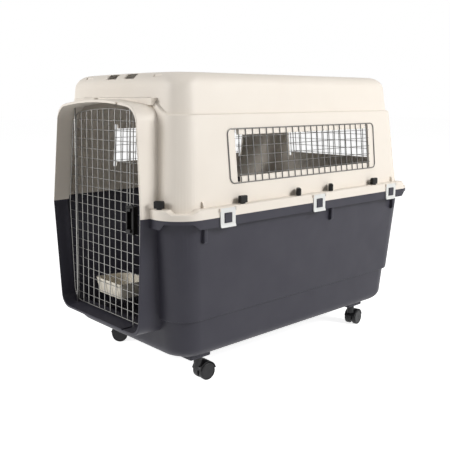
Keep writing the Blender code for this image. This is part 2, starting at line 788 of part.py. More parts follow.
def build_lower_shell(slate):
    """Lower half: tapered tub, flanged rim, lower snout and caster pedestals."""
    shell = lower_body(0.0, SEAM_Z, "lower_shell")
    shell.data.materials.append(slate)
    combine(shell, lower_flange("lower_rim"), "UNION")
    combine(shell, snout_solid("lower_snout", upper=False), "UNION")
    combine(shell, lower_details("lower_details"), "UNION")
    combine(shell, lower_body(WALL, SEAM_Z + THROUGH, "lower_cavity"), "DIFFERENCE")
    combine(shell, tunnel_cutter("lower_doorway"), "DIFFERENCE")
    combine(shell, stem_bosses("stem_bosses"), "UNION")
    combine(shell, stem_sockets("stem_sockets"), "DIFFERENCE")
    combine(shell, bolt_holes("lower_bolt_holes"), "DIFFERENCE")
    combine(shell, rod_seats("lower_rod_seats"), "DIFFERENCE")
    return shell


def upper_details(name):
    """What is moulded on the outside of the upper half."""
    shape = bmesh.new()
    top = SEAM_Z + UPPER_RIM_HEIGHT
    inside = top - RIM_PLATE / 2
    for sign, _ in both_sides():
        wall = RIM_HALF_WIDTH - upper_inset(top + UPPER_RIB_HEIGHT) - WALL / 2
        foot = RIM_HALF_WIDTH - upper_inset(top) + UPPER_RIB_REACH
        for y in UPPER_RIBS:
            outline = [(sign * wall, inside), (sign * foot, inside), (sign * foot, top + WALL),
                       (sign * (wall + 2 * WALL), top + UPPER_RIB_HEIGHT), (sign * wall, top + UPPER_RIB_HEIGHT)]
            add_prism(shape, outline, y - UPPER_RIB_WIDTH / 2, y + UPPER_RIB_WIDTH / 2, axes=(0, 2, 1))
        for y in CLIP_STATIONS:
            for end in (-1, 1):
                near = y + end * (CLIP_WIDTH / 2 + FIT)
                far = near + end * CLIP_EAR
                add_box(shape, (min(sign * (RIM_HALF_WIDTH - RIM_SKIRT / 2), sign * (RIM_HALF_WIDTH + CLIP_EAR_REACH)),
                                min(near, far), CLIP_TOP_Z - CLIP_EAR_DROP),
                        (max(sign * (RIM_HALF_WIDTH - RIM_SKIRT / 2), sign * (RIM_HALF_WIDTH + CLIP_EAR_REACH)),
                         max(near, far), CLIP_TOP_Z + FIT))
        add_box(shape, (min(sign * PAD_INNER, sign * PAD_OUTER), PAD_FRONT, PAD_LOW),
                (max(sign * PAD_INNER, sign * PAD_OUTER), PAD_BACK, PAD_HIGH))
    return shape_object(shape, name)


def clip_axis(sign, y):
    """Place of a side clip's hinge axis."""
    return Vector((sign * (RIM_HALF_WIDTH + FIT + CLIP_THICK / 2), y, CLIP_TOP_Z - CLIP_THICK / 2))


def clip_pin_holes(name):
    """Holes in the ears for the pins of the side clips."""
    shape = bmesh.new()
    for sign, _ in both_sides():
        for y in CLIP_STATIONS:
            axis = clip_axis(sign, y)
            for end in (-1, 1):
                start = axis + Vector((0, end * CLIP_WIDTH / 2, 0))
                add_rod(shape, start, start + Vector((0, end * (CLIP_PIN_LENGTH + 2 * FIT), 0)),
                        CLIP_PIN_RADIUS + FIT, 8)
    return shape_object(shape, name)


def window_cutter(name):
    """The three window openings."""
    shape = bmesh.new()
    side = rounded_polygon([(SIDE_WINDOW_FRONT, WINDOW_LOW, WINDOW_CORNER),
                            (SIDE_WINDOW_BACK, WINDOW_LOW, WINDOW_CORNER),
                            (SIDE_WINDOW_BACK, WINDOW_HIGH, WINDOW_CORNER),
                            (SIDE_WINDOW_FRONT, WINDOW_HIGH, WINDOW_CORNER)], 2)
    add_prism(shape, side, -RIM_HALF_WIDTH - THROUGH, RIM_HALF_WIDTH + THROUGH, axes=(1, 2, 0))
    opening = shape_object(shape, name)
    shape = bmesh.new()
    rear = rounded_polygon([(-REAR_WINDOW_HALF, WINDOW_LOW, WINDOW_CORNER),
                            (REAR_WINDOW_HALF, WINDOW_LOW, WINDOW_CORNER),
                            (REAR_WINDOW_HALF, WINDOW_HIGH, WINDOW_CORNER),
                            (-REAR_WINDOW_HALF, WINDOW_HIGH, WINDOW_CORNER)], 2)
    add_prism(shape, rear, RIM_BACK - 6 * THROUGH, RIM_BACK + THROUGH, axes=(0, 2, 1))
    return opening, shape_object(shape, name + "_rear")


def hand_holes(name):
    """Two hand holes through the roof's front edge, with a shallow groove beside each."""
    shape = bmesh.new()
    round_y = RIM_FRONT + upper_inset(ROOF_EDGE_Z) + STEP_DEPTH + ROOF_ROUND
    centre = ROOF_ROUND + GROOVE_RADIUS - GROOVE_DEPTH
    groove_y = round_y - centre * math.cos(GROOVE_ANGLE)
    groove_z = ROOF_EDGE_Z + (centre + ROOF_CROWN) * math.sin(GROOVE_ANGLE)
    for sign, _ in both_sides():
        add_box(shape, (min(sign * GRIP_INNER, sign * GRIP_OUTER), RIM_FRONT, GRIP_LOW),
                (max(sign * GRIP_INNER, sign * GRIP_OUTER), GRIP_BACK, GRIP_HIGH))
        add_rod(shape, (sign * GROOVE_INNER, groove_y, groove_z), (sign * GROOVE_OUTER, groove_y, groove_z),
                GROOVE_RADIUS, 10)
    return shape_object(shape, name)


def build_upper_shell(beige):
    """Upper half: walls, roof cap, flanged rim, upper snout and windows."""
    shell = upper_body("upper_shell")
    shell.data.materials.append(beige)
    combine(shell, upper_flange("upper_rim"), "UNION")
    combine(shell, snout_solid("upper_snout", upper=True), "UNION")
    combine(shell, upper_details("upper_details"), "UNION")
    combine(shell, upper_cavity("upper_cavity"), "DIFFERENCE")
    combine(shell, tunnel_cutter("upper_doorway"), "DIFFERENCE")
    for opening in window_cutter("window_openings"):
        combine(shell, opening, "DIFFERENCE")
    combine(shell, hand_holes("hand_holes"), "DIFFERENCE")
    combine(shell, bolt_holes("upper_bolt_holes"), "DIFFERENCE")
    combine(shell, clip_pin_holes("clip_pin_holes"), "DIFFERENCE")
    combine(shell, rod_seats("upper_rod_seats"), "DIFFERENCE")
    return shell


# Wire work

def lattice(name, columns, wire, material, parent=None, place=None, turn=None):
    """Wire grid from columns of points: every column and every row becomes a wire."""
    shape = bmesh.new()
    verts = [[shape.verts.new(point) for point in column] for column in columns]
    for left, right in zip(verts, verts[1:]):
        for i in range(len(left) - 1):
            shape.faces.new((left[i], right[i], right[i + 1], left[i + 1]))
    grid = shape_object(shape, name, material, parent, place, turn, smooth_angle=None)
    wires = grid.modifiers.new("wires", "WIREFRAME")
    wires.thickness = wire
    wires.use_boundary = True
    wires.use_replace = True
    wires.use_even_offset = True
    wires.use_relative_offset = False
    return grid


def window_grille(name, half_length, material, place, turn):
    """Wire grille of a window, in its own plane: X along, Z up the slope."""
    height = (WINDOW_HIGH - WINDOW_LOW) / 2 / math.cos(WINDOW_WALL_ANGLE) + GRILLE_MARGIN
    length = half_length + GRILLE_END_MARGIN
    uprights = int(2 * half_length / GRILLE_PITCH)
    first = -GRILLE_PITCH * uprights / 2
    across = [-length] + [first + GRILLE_PITCH * i for i in range(uprights + 1)] + [length]
    columns = []
    for x in across:
        cut = GRILLE_CORNER_CUT if abs(x) == length else 0.0
        reach = height - cut
        columns.append([(x, 0.0, -reach + 2 * reach * j / GRILLE_ROWS) for j in range(GRILLE_ROWS + 1)])
    return lattice(name, columns, GRILLE_WIRE, material, place=place, turn=turn)


def build_grilles(nickel):
    """Three grilles, each lying on the outside of its wall."""
    middle_z = (WINDOW_LOW + WINDOW_HIGH) / 2
    stand_off = (GRILLE_WIRE / 2 + FIT) / math.cos(WINDOW_WALL_ANGLE)
    out = RIM_HALF_WIDTH - upper_inset(middle_z) + stand_off
    middle_y = (SIDE_WINDOW_FRONT + SIDE_WINDOW_BACK) / 2
    half = (SIDE_WINDOW_BACK - SIDE_WINDOW_FRONT) / 2
    for sign, side in both_sides():
        window_grille(f"window_grille_{side}", half, nickel, (sign * out, middle_y, middle_z),
                      (WINDOW_WALL_ANGLE, 0.0, -sign * math.pi / 2))
    back = RIM_BACK - upper_inset(middle_z) + stand_off
    window_grille("window_grille_rear", REAR_WINDOW_HALF, nickel, (0.0, back, middle_z),
                  (WINDOW_WALL_ANGLE, 0.0, 0.0))


def door_outline():
    """The tunnel's section where the door hangs, with heights on the door."""
    return [Vector((p.x, (p.y - SEAM_Z) / math.cos(DOOR_LEAN))) for p in tunnel_section(DOOR_Y)]


def build_door(pivot, nickel):
    """Welded wire door, just behind the hinge rod."""
    outline = door_outline()
    back = HINGE_ROD_RADIUS + DOOR_WIRE / 2 + FIT
    uprights = [HINGE_X + DOOR_PITCH * i for i in range(DOOR_COLUMNS)]
    columns = []
    tops = [crossing_height(outline, x, True) - DOOR_GAP_END for x in uprights]
    bottoms = [crossing_height(outline, x, False) + DOOR_GAP_END for x in uprights]
    high_end = min(tops[0], tops[-1]) - DOOR_CORNER_DROP
    low_end = max(bottoms[0], bottoms[-1]) + DOOR_CORNER_DROP
    for side in (-1, 1):
        column = []
        for j in range(DOOR_ROWS + 1):
            z = low_end + (high_end - low_end) * j / DOOR_ROWS
            column.append((side * (crossing_width(outline, z) - DOOR_GAP_SIDE) - HINGE_X, back, z))
        columns.append(column)
    inner = []
    for x, low, top in zip(uprights, bottoms, tops):
        inner.append([(x - HINGE_X, back, low + (top - low) * j / DOOR_ROWS) for j in range(DOOR_ROWS + 1)])
    lattice("door_mesh", [columns[0]] + inner + [columns[1]], DOOR_WIRE, nickel, parent=pivot)
    shape = bmesh.new()
    add_rod(shape, (0, 0, rod_reach(0.0, False)), (0, 0, rod_reach(0.0, True)), HINGE_ROD_RADIUS, 10)
    shape_object(shape, "door_hinge_rod", nickel, pivot)


def build_latch(pivot, black, zinc):
    """Squeeze latch: a housing on the wires and two rods that slide in it."""
    back = HINGE_ROD_RADIUS                           # the wires' front face less the fit
    front = back - LATCH_DEPTH
    middle = latch_middle()
    x = LATCH_X - HINGE_X
    z = LATCH_Z - SEAM_Z
    half_w = LATCH_WIDTH / 2
    half_h = LATCH_HEIGHT / 2
    shape = bmesh.new()
    outline = rounded_polygon([(x - half_w, z - half_h, LATCH_CORNER), (x + half_w, z - half_h, LATCH_CORNER),
                               (x + half_w, z + half_h, LATCH_CORNER), (x - half_w, z + half_h, LATCH_CORNER)], 2)
    add_prism(shape, outline, front, back, axes=(0, 2, 1))
    housing = shape_object(shape, "latch_housing", black, pivot)
    shape = bmesh.new()
    add_box(shape, (x - LATCH_TAB_WIDTH / 2 - FIT * 2, front - THROUGH, z - half_h + LATCH_WALL * 2),
            (x + LATCH_TAB_WIDTH / 2 + FIT * 2, back - LATCH_WALL, z + half_h - LATCH_WALL * 2))
    window = shape_object(shape, "latch_window", parent=pivot)
    combine(housing, window, "DIFFERENCE")
    shape = bmesh.new()
    for offset in (-LATCH_ROD_OFFSET, LATCH_ROD_OFFSET):
        add_rod(shape, (x + offset, middle, z - half_h - THROUGH), (x + offset, middle, z + half_h + THROUGH),
                LATCH_ROD_RADIUS + FIT, 8)
    combine(housing, shape_object(shape, "latch_rod_holes", parent=pivot), "DIFFERENCE")
    for name, offset, up in (("latch_rod_upper", -LATCH_ROD_OFFSET, True),
                             ("latch_rod_lower", LATCH_ROD_OFFSET, False)):
        sign = 1 if up else -1
        edge = z + sign * (half_h - LATCH_WALL * 2 - FIT)
        inner = edge - sign * LATCH_TAB_HEIGHT
        shape = bmesh.new()
        add_box(shape, (x - LATCH_TAB_WIDTH / 2, front - LATCH_TAB_PROUD, min(edge, inner)),
                (x + LATCH_TAB_WIDTH / 2, back - LATCH_WALL - FIT, max(edge, inner)))
        tab = shape_object(shape, name, zinc, pivot)
        shape = bmesh.new()
        tip = rod_reach(x + offset, up)
        start = (x + offset, middle, (edge + inner) / 2)
        add_rod(shape, start, (x + offset, middle, tip), LATCH_ROD_RADIUS, 8)
        combine(tab, shape_object(shape, name + "_bar", parent=pivot), "UNION")


def build_dish(pivot, cream):
    """Open dish with a straight front and a round back, hooked on the door wires."""
    back = HINGE_ROD_RADIUS + DOOR_WIRE + 2 * FIT     # clear of the wires' inner face
    left = DISH_LEFT - HINGE_X
    right = DISH_RIGHT - HINGE_X
    top = DISH_TOP - SEAM_Z

    def section(z, draw):
        front_y = back + draw
        corners = [(left + draw, front_y, DISH_FRONT_CORNER), (right - draw, front_y, DISH_FRONT_CORNER),
                   (right - draw, back + DISH_DEPTH - draw, DISH_BACK_CORNER),
                   (left + draw, back + DISH_DEPTH - draw, DISH_BACK_CORNER)]
        return [Vector((p.x, p.y, z)) for p in rounded_polygon(corners, 3)]

    low = top - DISH_HEIGHT
    dish = make_object("food_dish", loft([section(low, DISH_DRAFT), section(top, 0.0)], "food_dish"),
                       cream, pivot)
    inner = [section(low + DISH_WALL, DISH_DRAFT + DISH_WALL), section(top, DISH_WALL),
             section(top + THROUGH, DISH_WALL)]
    combine(dish, make_object("dish_inside", loft(inner, "dish_inside"), parent=pivot), "DIFFERENCE")


# Fasteners

def build_clips(white):
    """Side clips: a plate with a square hole, hinged on the upper rim."""
    top = CLIP_THICK / 2
    low = CLIP_BOTTOM_Z - (CLIP_TOP_Z - CLIP_THICK / 2)
    half = CLIP_THICK / 2
    for sign, side in both_sides():
        for i, y in enumerate(CLIP_STATIONS, start=1):
            axis = clip_axis(sign, y)
            shape = bmesh.new()
            head = [(half * math.cos(a), half * math.sin(a)) for a in
                    [math.pi * k / 4 for k in range(5)]]
            profile = head + [(-half, low + CLIP_FLARE_HEIGHT), (-half + CLIP_FLARE, low),
                              (half + CLIP_FLARE, low), (half, low + CLIP_FLARE_HEIGHT)]
            profile = [(sign * u, v) for u, v in profile]
            add_prism(shape, profile, -CLIP_WIDTH / 2, CLIP_WIDTH / 2, axes=(0, 2, 1))
            clip = shape_object(shape, f"side_clip_{side}_{i}", white, place=axis)
            shape = bmesh.new()
            add_rod(shape, (0, -CLIP_WIDTH / 2 - CLIP_PIN_LENGTH, 0), (0, CLIP_WIDTH / 2 + CLIP_PIN_LENGTH, 0),
                    CLIP_PIN_RADIUS, 8)
            pins = shape_object(shape, f"side_clip_pins_{side}_{i}", place=axis)
            combine(clip, pins, "UNION")
            shape = bmesh.new()
            wide = CATCH_WIDTH / 2 + CATCH_PLAY
            add_box(shape, (-THROUGH, -wide, CATCH_LOW - CATCH_PLAY - axis.z),
                    (THROUGH, wide, CATCH_HIGH + CATCH_PLAY - axis.z))
            combine(clip, shape_object(shape, f"side_clip_hole_{side}_{i}", place=axis), "DIFFERENCE")


def wing_nut_parts():
    """Meshes of the nut's hub, its wings and its bore, standing on their base."""
    hub = bmesh.new()
    bmesh.ops.create_cone(hub, cap_ends=True, segments=10, radius1=NUT_HUB, radius2=NUT_HUB * 0.8,
                          depth=NUT_HUB_HEIGHT, matrix=Matrix.Translation((0, 0, NUT_HUB_HEIGHT / 2)))
    wings = bmesh.new()
    half = NUT_SPAN / 2
    deep = NUT_WING_THICK / 2
    outline = rounded_polygon([(-half, -deep, NUT_CORNER), (half, -deep, NUT_CORNER), (half, deep, NUT_CORNER),
                               (-half, deep, NUT_CORNER)], 2)
    add_prism(wings, outline, NUT_WING_LOW, NUT_HEIGHT)
    rim = [edge for edge in wings.edges if all(vert.co.z > NUT_HEIGHT - FIT for vert in edge.verts)]
    bmesh.ops.bevel(wings, geom=rim, offset=NUT_CORNER, segments=2, profile=0.5, affect="EDGES")
    bore = bmesh.new()
    add_rod(bore, (0, 0, -THROUGH), (0, 0, BOLT_REACH + FIT), BOLT_RADIUS + FIT, 8)
    return (bmesh_to_mesh(hub, "nut_hub", 30.0), bmesh_to_mesh(wings, "nut_wings", 30.0),
            bmesh_to_mesh(bore, "nut_bore", 30.0))


def build_bolts(black, zinc):
    """Bolts up through both rims, each with a wing nut on top."""
    hub, wings, bore = wing_nut_parts()
    for name, x, y, top, turn in bolt_places():
        place = (x, y, top + FIT)
        angle = (0.0, 0.0, math.radians(turn))
        nut = make_object(f"wing_nut_{name}", hub.copy(), black, place=place, turn=angle)
        combine(nut, make_object(f"nut_wings_{name}", wings, place=place, turn=angle), "UNION")
        combine(nut, make_object(f"nut_bore_{name}", bore, place=place, turn=angle), "DIFFERENCE")
        under = SEAM_Z - RIM_PLATE - FIT
        shape = bmesh.new()
        add_rod(shape, (0, 0, -BOLT_HEAD_HEIGHT), (0, 0, 0), BOLT_HEAD_RADIUS, 6)
        bolt = shape_object(shape, f"rim_bolt_{name}", zinc, place=(x, y, under))
        shape = bmesh.new()
        add_rod(shape, (0, 0, -BOLT_HEAD_HEIGHT / 2), (0, 0, top + FIT + BOLT_REACH - under),
                BOLT_RADIUS, 8)
        combine(bolt, shape_object(shape, f"bolt_shank_{name}", place=(x, y, under)), "UNION")


# Casters

def turned(name, profile, steps, material, parent, place):
    """A ring turned round X from a closed profile of (x, radius) points."""
    shape = bmesh.new()
    verts = [shape.verts.new((x, 0.0, radius)) for x, radius in profile]
    for a, b in zip(verts, verts[1:] + verts[:1]):
        shape.edges.new((a, b))
    mesh = bpy.data.meshes.new(name)
    shape.to_mesh(mesh)
    shape.free()
    ring = make_object(name, mesh, material, parent, place=place)
    screw = ring.modifiers.new("turn", "SCREW")
    screw.axis = "X"
    screw.steps = steps
    screw.render_steps = steps
    screw.use_merge_vertices = True
    screw.merge_threshold = 0.00001
    screw.use_normal_calculate = True
    screw.use_smooth_shade = True
    return ring


def wheel_profile(sign):
    """Section of one wheel, from its inner face outwards."""
    inner = WEB_WIDTH / 2 + WHEEL_SIDE_PLAY
    outer = inner + WHEEL_WIDTH
    bore = AXLE_RADIUS + FIT
    points = [(inner, bore), (outer, bore), (outer, WHEEL_RADIUS - WHEEL_EDGE),
              (outer - WHEEL_EDGE, WHEEL_RADIUS), (inner + WHEEL_EDGE, WHEEL_RADIUS),
              (inner, WHEEL_RADIUS - WHEEL_EDGE)]
    return [(sign * x, radius) for x, radius in points]


def build_caster(name, x, y, heading, black, grey, zinc):
    """Twin-wheel caster: stem, hood that swivels, axle and two wheels."""
    swivel = make_empty(f"swivel_{name}", (x, y, 0.0), (0.0, 0.0, heading))
    stem = bmesh.new()
    add_rod(stem, (0, 0, SWIVEL_BOSS_LOW + 0.012), (0, 0, PEDESTAL_Z + STEM_DEPTH), STEM_RADIUS, 10)
    pin = shape_object(stem, f"caster_stem_{name}", zinc, place=(x, y, 0.0))
    collar = bmesh.new()
    collar_top = PEDESTAL_Z - FIT
    add_rod(collar, (0, 0, collar_top - COLLAR_HEIGHT), (0, 0, collar_top), COLLAR_RADIUS, 12)
    combine(pin, shape_object(collar, f"stem_collar_{name}", place=(x, y, 0.0)), "UNION")

    boss_top = collar_top - COLLAR_HEIGHT - FIT
    web = bmesh.new()
    ring = [(TRAIL + 0.011 * math.cos(a), WHEEL_RADIUS + 0.011 * math.sin(a))
            for a in [math.radians(d) for d in (-150, -120, -90, -60, -30, 0, 30)]]
    guard = WHEEL_RADIUS + HOOD_GAP + HOOD_THICK / 2
    outline = ring + [(TRAIL + guard * math.cos(math.radians(50)), WHEEL_RADIUS + guard * math.sin(math.radians(50))),
                      (TRAIL, WHEEL_RADIUS + guard), (SWIVEL_BOSS_RADIUS * 0.7, boss_top - 0.004),
                      (-SWIVEL_BOSS_RADIUS * 0.7, boss_top - 0.004), (-SWIVEL_BOSS_RADIUS * 0.7, SWIVEL_BOSS_LOW)]
    add_prism(web, outline, -WEB_WIDTH / 2, WEB_WIDTH / 2, axes=(1, 2, 0))
    hood = shape_object(web, f"caster_hood_{name}", black, swivel)
    post = bmesh.new()
    add_rod(post, (0, 0, SWIVEL_BOSS_LOW), (0, 0, boss_top), SWIVEL_BOSS_RADIUS, 12)
    combine(hood, shape_object(post, f"swivel_boss_{name}", parent=swivel), "UNION")

    cover = bmesh.new()
    arc = [math.radians(HOOD_START + (HOOD_END - HOOD_START) * k / 8) for k in range(9)]
    inner = WHEEL_RADIUS + HOOD_GAP
    outer = inner + HOOD_THICK
    outline = [(TRAIL + outer * math.cos(a), WHEEL_RADIUS + outer * math.sin(a)) for a in arc]
    outline += [(TRAIL + inner * math.cos(a), WHEEL_RADIUS + inner * math.sin(a)) for a in reversed(arc)]
    width = WEB_WIDTH / 2 + WHEEL_SIDE_PLAY + WHEEL_WIDTH * 0.9
    add_prism(cover, outline, -width, width, axes=(1, 2, 0))
    combine(hood, shape_object(cover, f"hood_cover_{name}", parent=swivel), "UNION")
    holes = bmesh.new()
    add_rod(holes, (-THROUGH, TRAIL, WHEEL_RADIUS), (THROUGH, TRAIL, WHEEL_RADIUS), AXLE_RADIUS + FIT, 8)
    combine(hood, shape_object(holes, f"axle_hole_{name}", parent=swivel), "DIFFERENCE")
    socket = bmesh.new()
    add_rod(socket, (0, 0, SWIVEL_BOSS_LOW + 0.012 - FIT), (0, 0, boss_top + THROUGH), STEM_RADIUS + FIT, 10)
    combine(hood, shape_object(socket, f"stem_hole_{name}", parent=swivel), "DIFFERENCE")

    half = WEB_WIDTH / 2 + WHEEL_SIDE_PLAY + WHEEL_WIDTH
    shape = bmesh.new()
    add_rod(shape, (-half, 0, 0), (half, 0, 0), AXLE_RADIUS, 8)
    shape_object(shape, f"caster_axle_{name}", zinc, swivel, place=(0, TRAIL, WHEEL_RADIUS))
    for sign, side in both_sides():
        turned(f"caster_wheel_{name}_{side}", wheel_profile(sign), WHEEL_STEPS, grey, swivel,
               (0, TRAIL, WHEEL_RADIUS))


def clear_scene():
    """Empty the scene and make the two collections."""
    for thing in list(bpy.data.objects):
        bpy.data.objects.remove(thing, do_unlink=True)
    for name in ("pet_travel_crate", "cutters"):
        group = bpy.data.collections.new(name)
        bpy.context.scene.collection.children.link(group)


def main():
    """Build the crate."""
    clear_scene()
    beige = plastic_or_metal("beige_polypropylene", BEIGE, 0.55)
    slate = plastic_or_metal("slate_polypropylene", SLATE, 0.5)
    white = plastic_or_metal("white_nylon", WHITE_PLASTIC, 0.4)
    black = plastic_or_metal("black_nylon", BLACK_PLASTIC, 0.45)
    caster_black = plastic_or_metal("caster_nylon", CASTER_BLACK, 0.4)
    nickel = plastic_or_metal("nickel_plated_wire", NICKEL_WIRE, 0.3, 1.0)
    cream = plastic_or_metal("cream_polypropylene", CREAM, 0.5)
    zinc = plastic_or_metal("zinc_plated_steel", ZINC_STEEL, 0.35, 1.0)

    build_lower_shell(slate)
    build_upper_shell(beige)
    build_grilles(nickel)
    door_place = door_frame()
    pivot = make_empty("door_pivot", door_place.translation, door_place.to_euler())
    build_door(pivot, nickel)
    build_latch(pivot, black, zinc)
    build_dish(pivot, cream)
    build_clips(white)
    build_bolts(black, zinc)
    for name, x, y, heading in caster_places():
        build_caster(name, x, y, heading, black, caster_black, zinc)
    bpy.context.view_layer.update()


main()
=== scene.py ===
"""Looks of the pet travel crate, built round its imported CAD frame.

Every class below is one sub-assembly of the crate. It holds its real sizes in metres, builds
its meshes with Blender's modelling operators and dresses them in the finish of the real piece.
"""

import logging
import math
from collections.abc import Callable, Iterable, Sequence
from dataclasses import dataclass, field
from enum import Enum

import bmesh
import bpy
from mathutils import Matrix, Quaternion, Vector

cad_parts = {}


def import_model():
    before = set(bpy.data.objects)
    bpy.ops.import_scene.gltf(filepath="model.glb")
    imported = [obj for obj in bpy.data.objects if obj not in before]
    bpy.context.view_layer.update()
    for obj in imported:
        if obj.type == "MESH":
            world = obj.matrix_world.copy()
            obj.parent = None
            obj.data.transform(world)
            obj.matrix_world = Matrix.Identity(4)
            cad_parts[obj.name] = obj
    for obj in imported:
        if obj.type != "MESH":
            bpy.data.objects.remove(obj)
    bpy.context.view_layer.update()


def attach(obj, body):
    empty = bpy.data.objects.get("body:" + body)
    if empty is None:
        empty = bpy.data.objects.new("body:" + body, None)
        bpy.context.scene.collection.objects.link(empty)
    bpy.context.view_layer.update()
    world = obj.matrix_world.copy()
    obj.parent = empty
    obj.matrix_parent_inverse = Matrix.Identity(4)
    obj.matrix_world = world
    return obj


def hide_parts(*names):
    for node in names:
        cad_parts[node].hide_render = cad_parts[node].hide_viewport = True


LOG = logging.getLogger("crate")
MILLIMETRE = 0.001
# Slack for picking out a face or an edge by its place.
SLACK = 0.1 * MILLIMETRE
# A direction is along an axis above the first share of it, and across it below the second.
ALONG = 0.9
ACROSS = 0.1
# Places of the side clips along the crate, and so of the ears and catches that hold them.
CLIP_STATIONS = (-0.3855, 0.034, 0.4536)
ORIGIN = (0.0, 0.0, 0.0)
WHITE = (1.0, 1.0, 1.0, 1.0)
Test = Callable[[Vector, Vector], bool]
Point = tuple[float, float, float]


class Pick(Enum):
    """What an edit-mode step selects."""

    VERTS = "VERT"
    EDGES = "EDGE"
    FACES = "FACE"


class Join(Enum):
    """How one workpiece is put together with another."""

    UNION = "UNION"
    CUT = "DIFFERENCE"


class Side(Enum):
    """The two long sides of the crate, with the sign of X there."""

    RIGHT = 1
    LEFT = -1

    @property
    def word(self) -> str:
        """The side's name as the CAD nodes spell it."""
        return self.name.lower()

    @property
    def flip(self) -> Matrix:
        """Mirrors a right-hand piece to this side."""
        return Matrix.Diagonal((self.value, 1.0, 1.0, 1.0))


# Colour and finishes


def linear(hex_colour: str) -> tuple[float, float, float, float]:
    """Turn an sRGB hex colour into linear light.

    Args:
        hex_colour: Six hex digits, red first.

    Returns:
        Linear red, green and blue, and full opacity.
    """
    channels = [int(hex_colour[i:i + 2], 16) / 255 for i in (0, 2, 4)]
    red, green, blue = (c / 12.92 if c <= 0.04045 else ((c + 0.055) / 1.055) ** 2.4 for c in channels)
    return red, green, blue, 1.0


def add_node(tree: bpy.types.NodeTree, kind: str, links: dict[str, object] | None = None,
             **settings: object) -> bpy.types.Node:
    """Add a node with its settings and links.

    Args:
        tree: The material's or world's node tree.
        kind: The node's class name without its ShaderNode prefix.
        links: Socket name to a value, or to the output socket that feeds it.
        settings: Properties of the node itself.

    Returns:
        The new node.
    """
    node = tree.nodes.new("ShaderNode" + kind)
    for key, value in settings.items():
        setattr(node, key, value)
    for name, value in (links or {}).items():
        socket = node.inputs[int(name)] if name.isdigit() else node.inputs[name]
        if isinstance(value, bpy.types.NodeSocket):
            tree.links.new(value, socket)
        else:
            socket.default_value = value
    return node


def per_metre(size_mm: float) -> float:
    """Texture scale that gives features of a size in millimetres."""
    return 1.0 / (size_mm * MILLIMETRE)


@dataclass(frozen=True)
class Finish:
    """A finish in two close tones of one colour, whose material is made on first use."""

    name: str
    colour: str
    shade: str
    roughness: float
    slot: str

    def material(self) -> bpy.types.Material:
        """Make the material once and hand it out again afterwards."""
        if self.name in bpy.data.materials:
            return bpy.data.materials[self.name]
        material = bpy.data.materials.new(self.name)
        material.use_nodes = True
        tree = material.node_tree
        place = add_node(tree, "TexCoord").outputs["Object"]
        self.paint(tree, tree.nodes["Principled BSDF"], place)
        return material

    def paint(self, tree: bpy.types.NodeTree, shader: bpy.types.Node, place: bpy.types.NodeSocket) -> None:
        """Add the nodes that feed the shader.

        Args:
            tree: The material's node tree.
            shader: Its Principled BSDF.
            place: The object's own coordinates.
        """
        raise NotImplementedError

    def vary(self, tree: bpy.types.NodeTree, shader: bpy.types.Node, pattern: bpy.types.NodeSocket,
             gloss_shift: tuple[float, float]) -> None:
        """Let a noise pattern vary the tone and the gloss.

        Args:
            tree: The material's node tree.
            shader: Its Principled BSDF.
            pattern: The noise, which hardly leaves the range from 0.3 to 0.7.
            gloss_shift: What is added to the roughness at the low and the high end of that range.
        """
        tone = add_node(tree, "Mix", {"0": pattern, "6": linear(self.shade), "7": linear(self.colour)},
                        data_type="RGBA").outputs[2]
        tree.links.new(tone, shader.inputs["Base Color"])
        gloss = add_node(tree, "MapRange", {"Value": pattern, "From Min": 0.3, "From Max": 0.7,
                                            "To Min": self.roughness + gloss_shift[0],
                                            "To Max": self.roughness + gloss_shift[1]}).outputs["Result"]
        tree.links.new(gloss, shader.inputs["Roughness"])


@dataclass(frozen=True)
class MouldedPlastic(Finish):
    """Injection-moulded plastic: an even colour, a spark-eroded grain and slight flow marks."""

    grain_mm: float = 1.6
    grain_depth_mm: float = 0.05
    mottle_mm: float = 120.0
    edge_mm: float = 1.2
    specular: float = 0.5
    ior: float = 1.49
    gloss_shift: tuple[float, float] = (0.05, -0.05)
    grain_strength: float = 0.35

    def paint(self, tree: bpy.types.NodeTree, shader: bpy.types.Node, place: bpy.types.NodeSocket) -> None:
        """Add flow marks, grain and softly rounded edges."""
        # Flow marks: the melt cools unevenly, so large areas differ a little in tone and gloss.
        mottle = add_node(tree, "TexNoise", {"Vector": place, "Scale": per_metre(self.mottle_mm),
                                             "Detail": 3.0, "Roughness": 0.55}).outputs["Fac"]
        self.vary(tree, shader, mottle, self.gloss_shift)
        # Spark-eroded grain of the mould. It is drawn coarser than life so that it shows at all.
        grain = add_node(tree, "TexNoise", {"Vector": place, "Scale": per_metre(self.grain_mm),
                                            "Detail": 2.0}).outputs["Fac"]
        rounded = add_node(tree, "Bevel", {"Radius": self.edge_mm * MILLIMETRE}, samples=4).outputs["Normal"]
        bump = add_node(tree, "Bump", {"Height": grain, "Strength": self.grain_strength, "Normal": rounded,
                                       "Distance": self.grain_depth_mm * MILLIMETRE}).outputs["Normal"]
        tree.links.new(bump, shader.inputs["Normal"])
        shader.inputs["IOR"].default_value = self.ior
        shader.inputs["Specular IOR Level"].default_value = self.specular


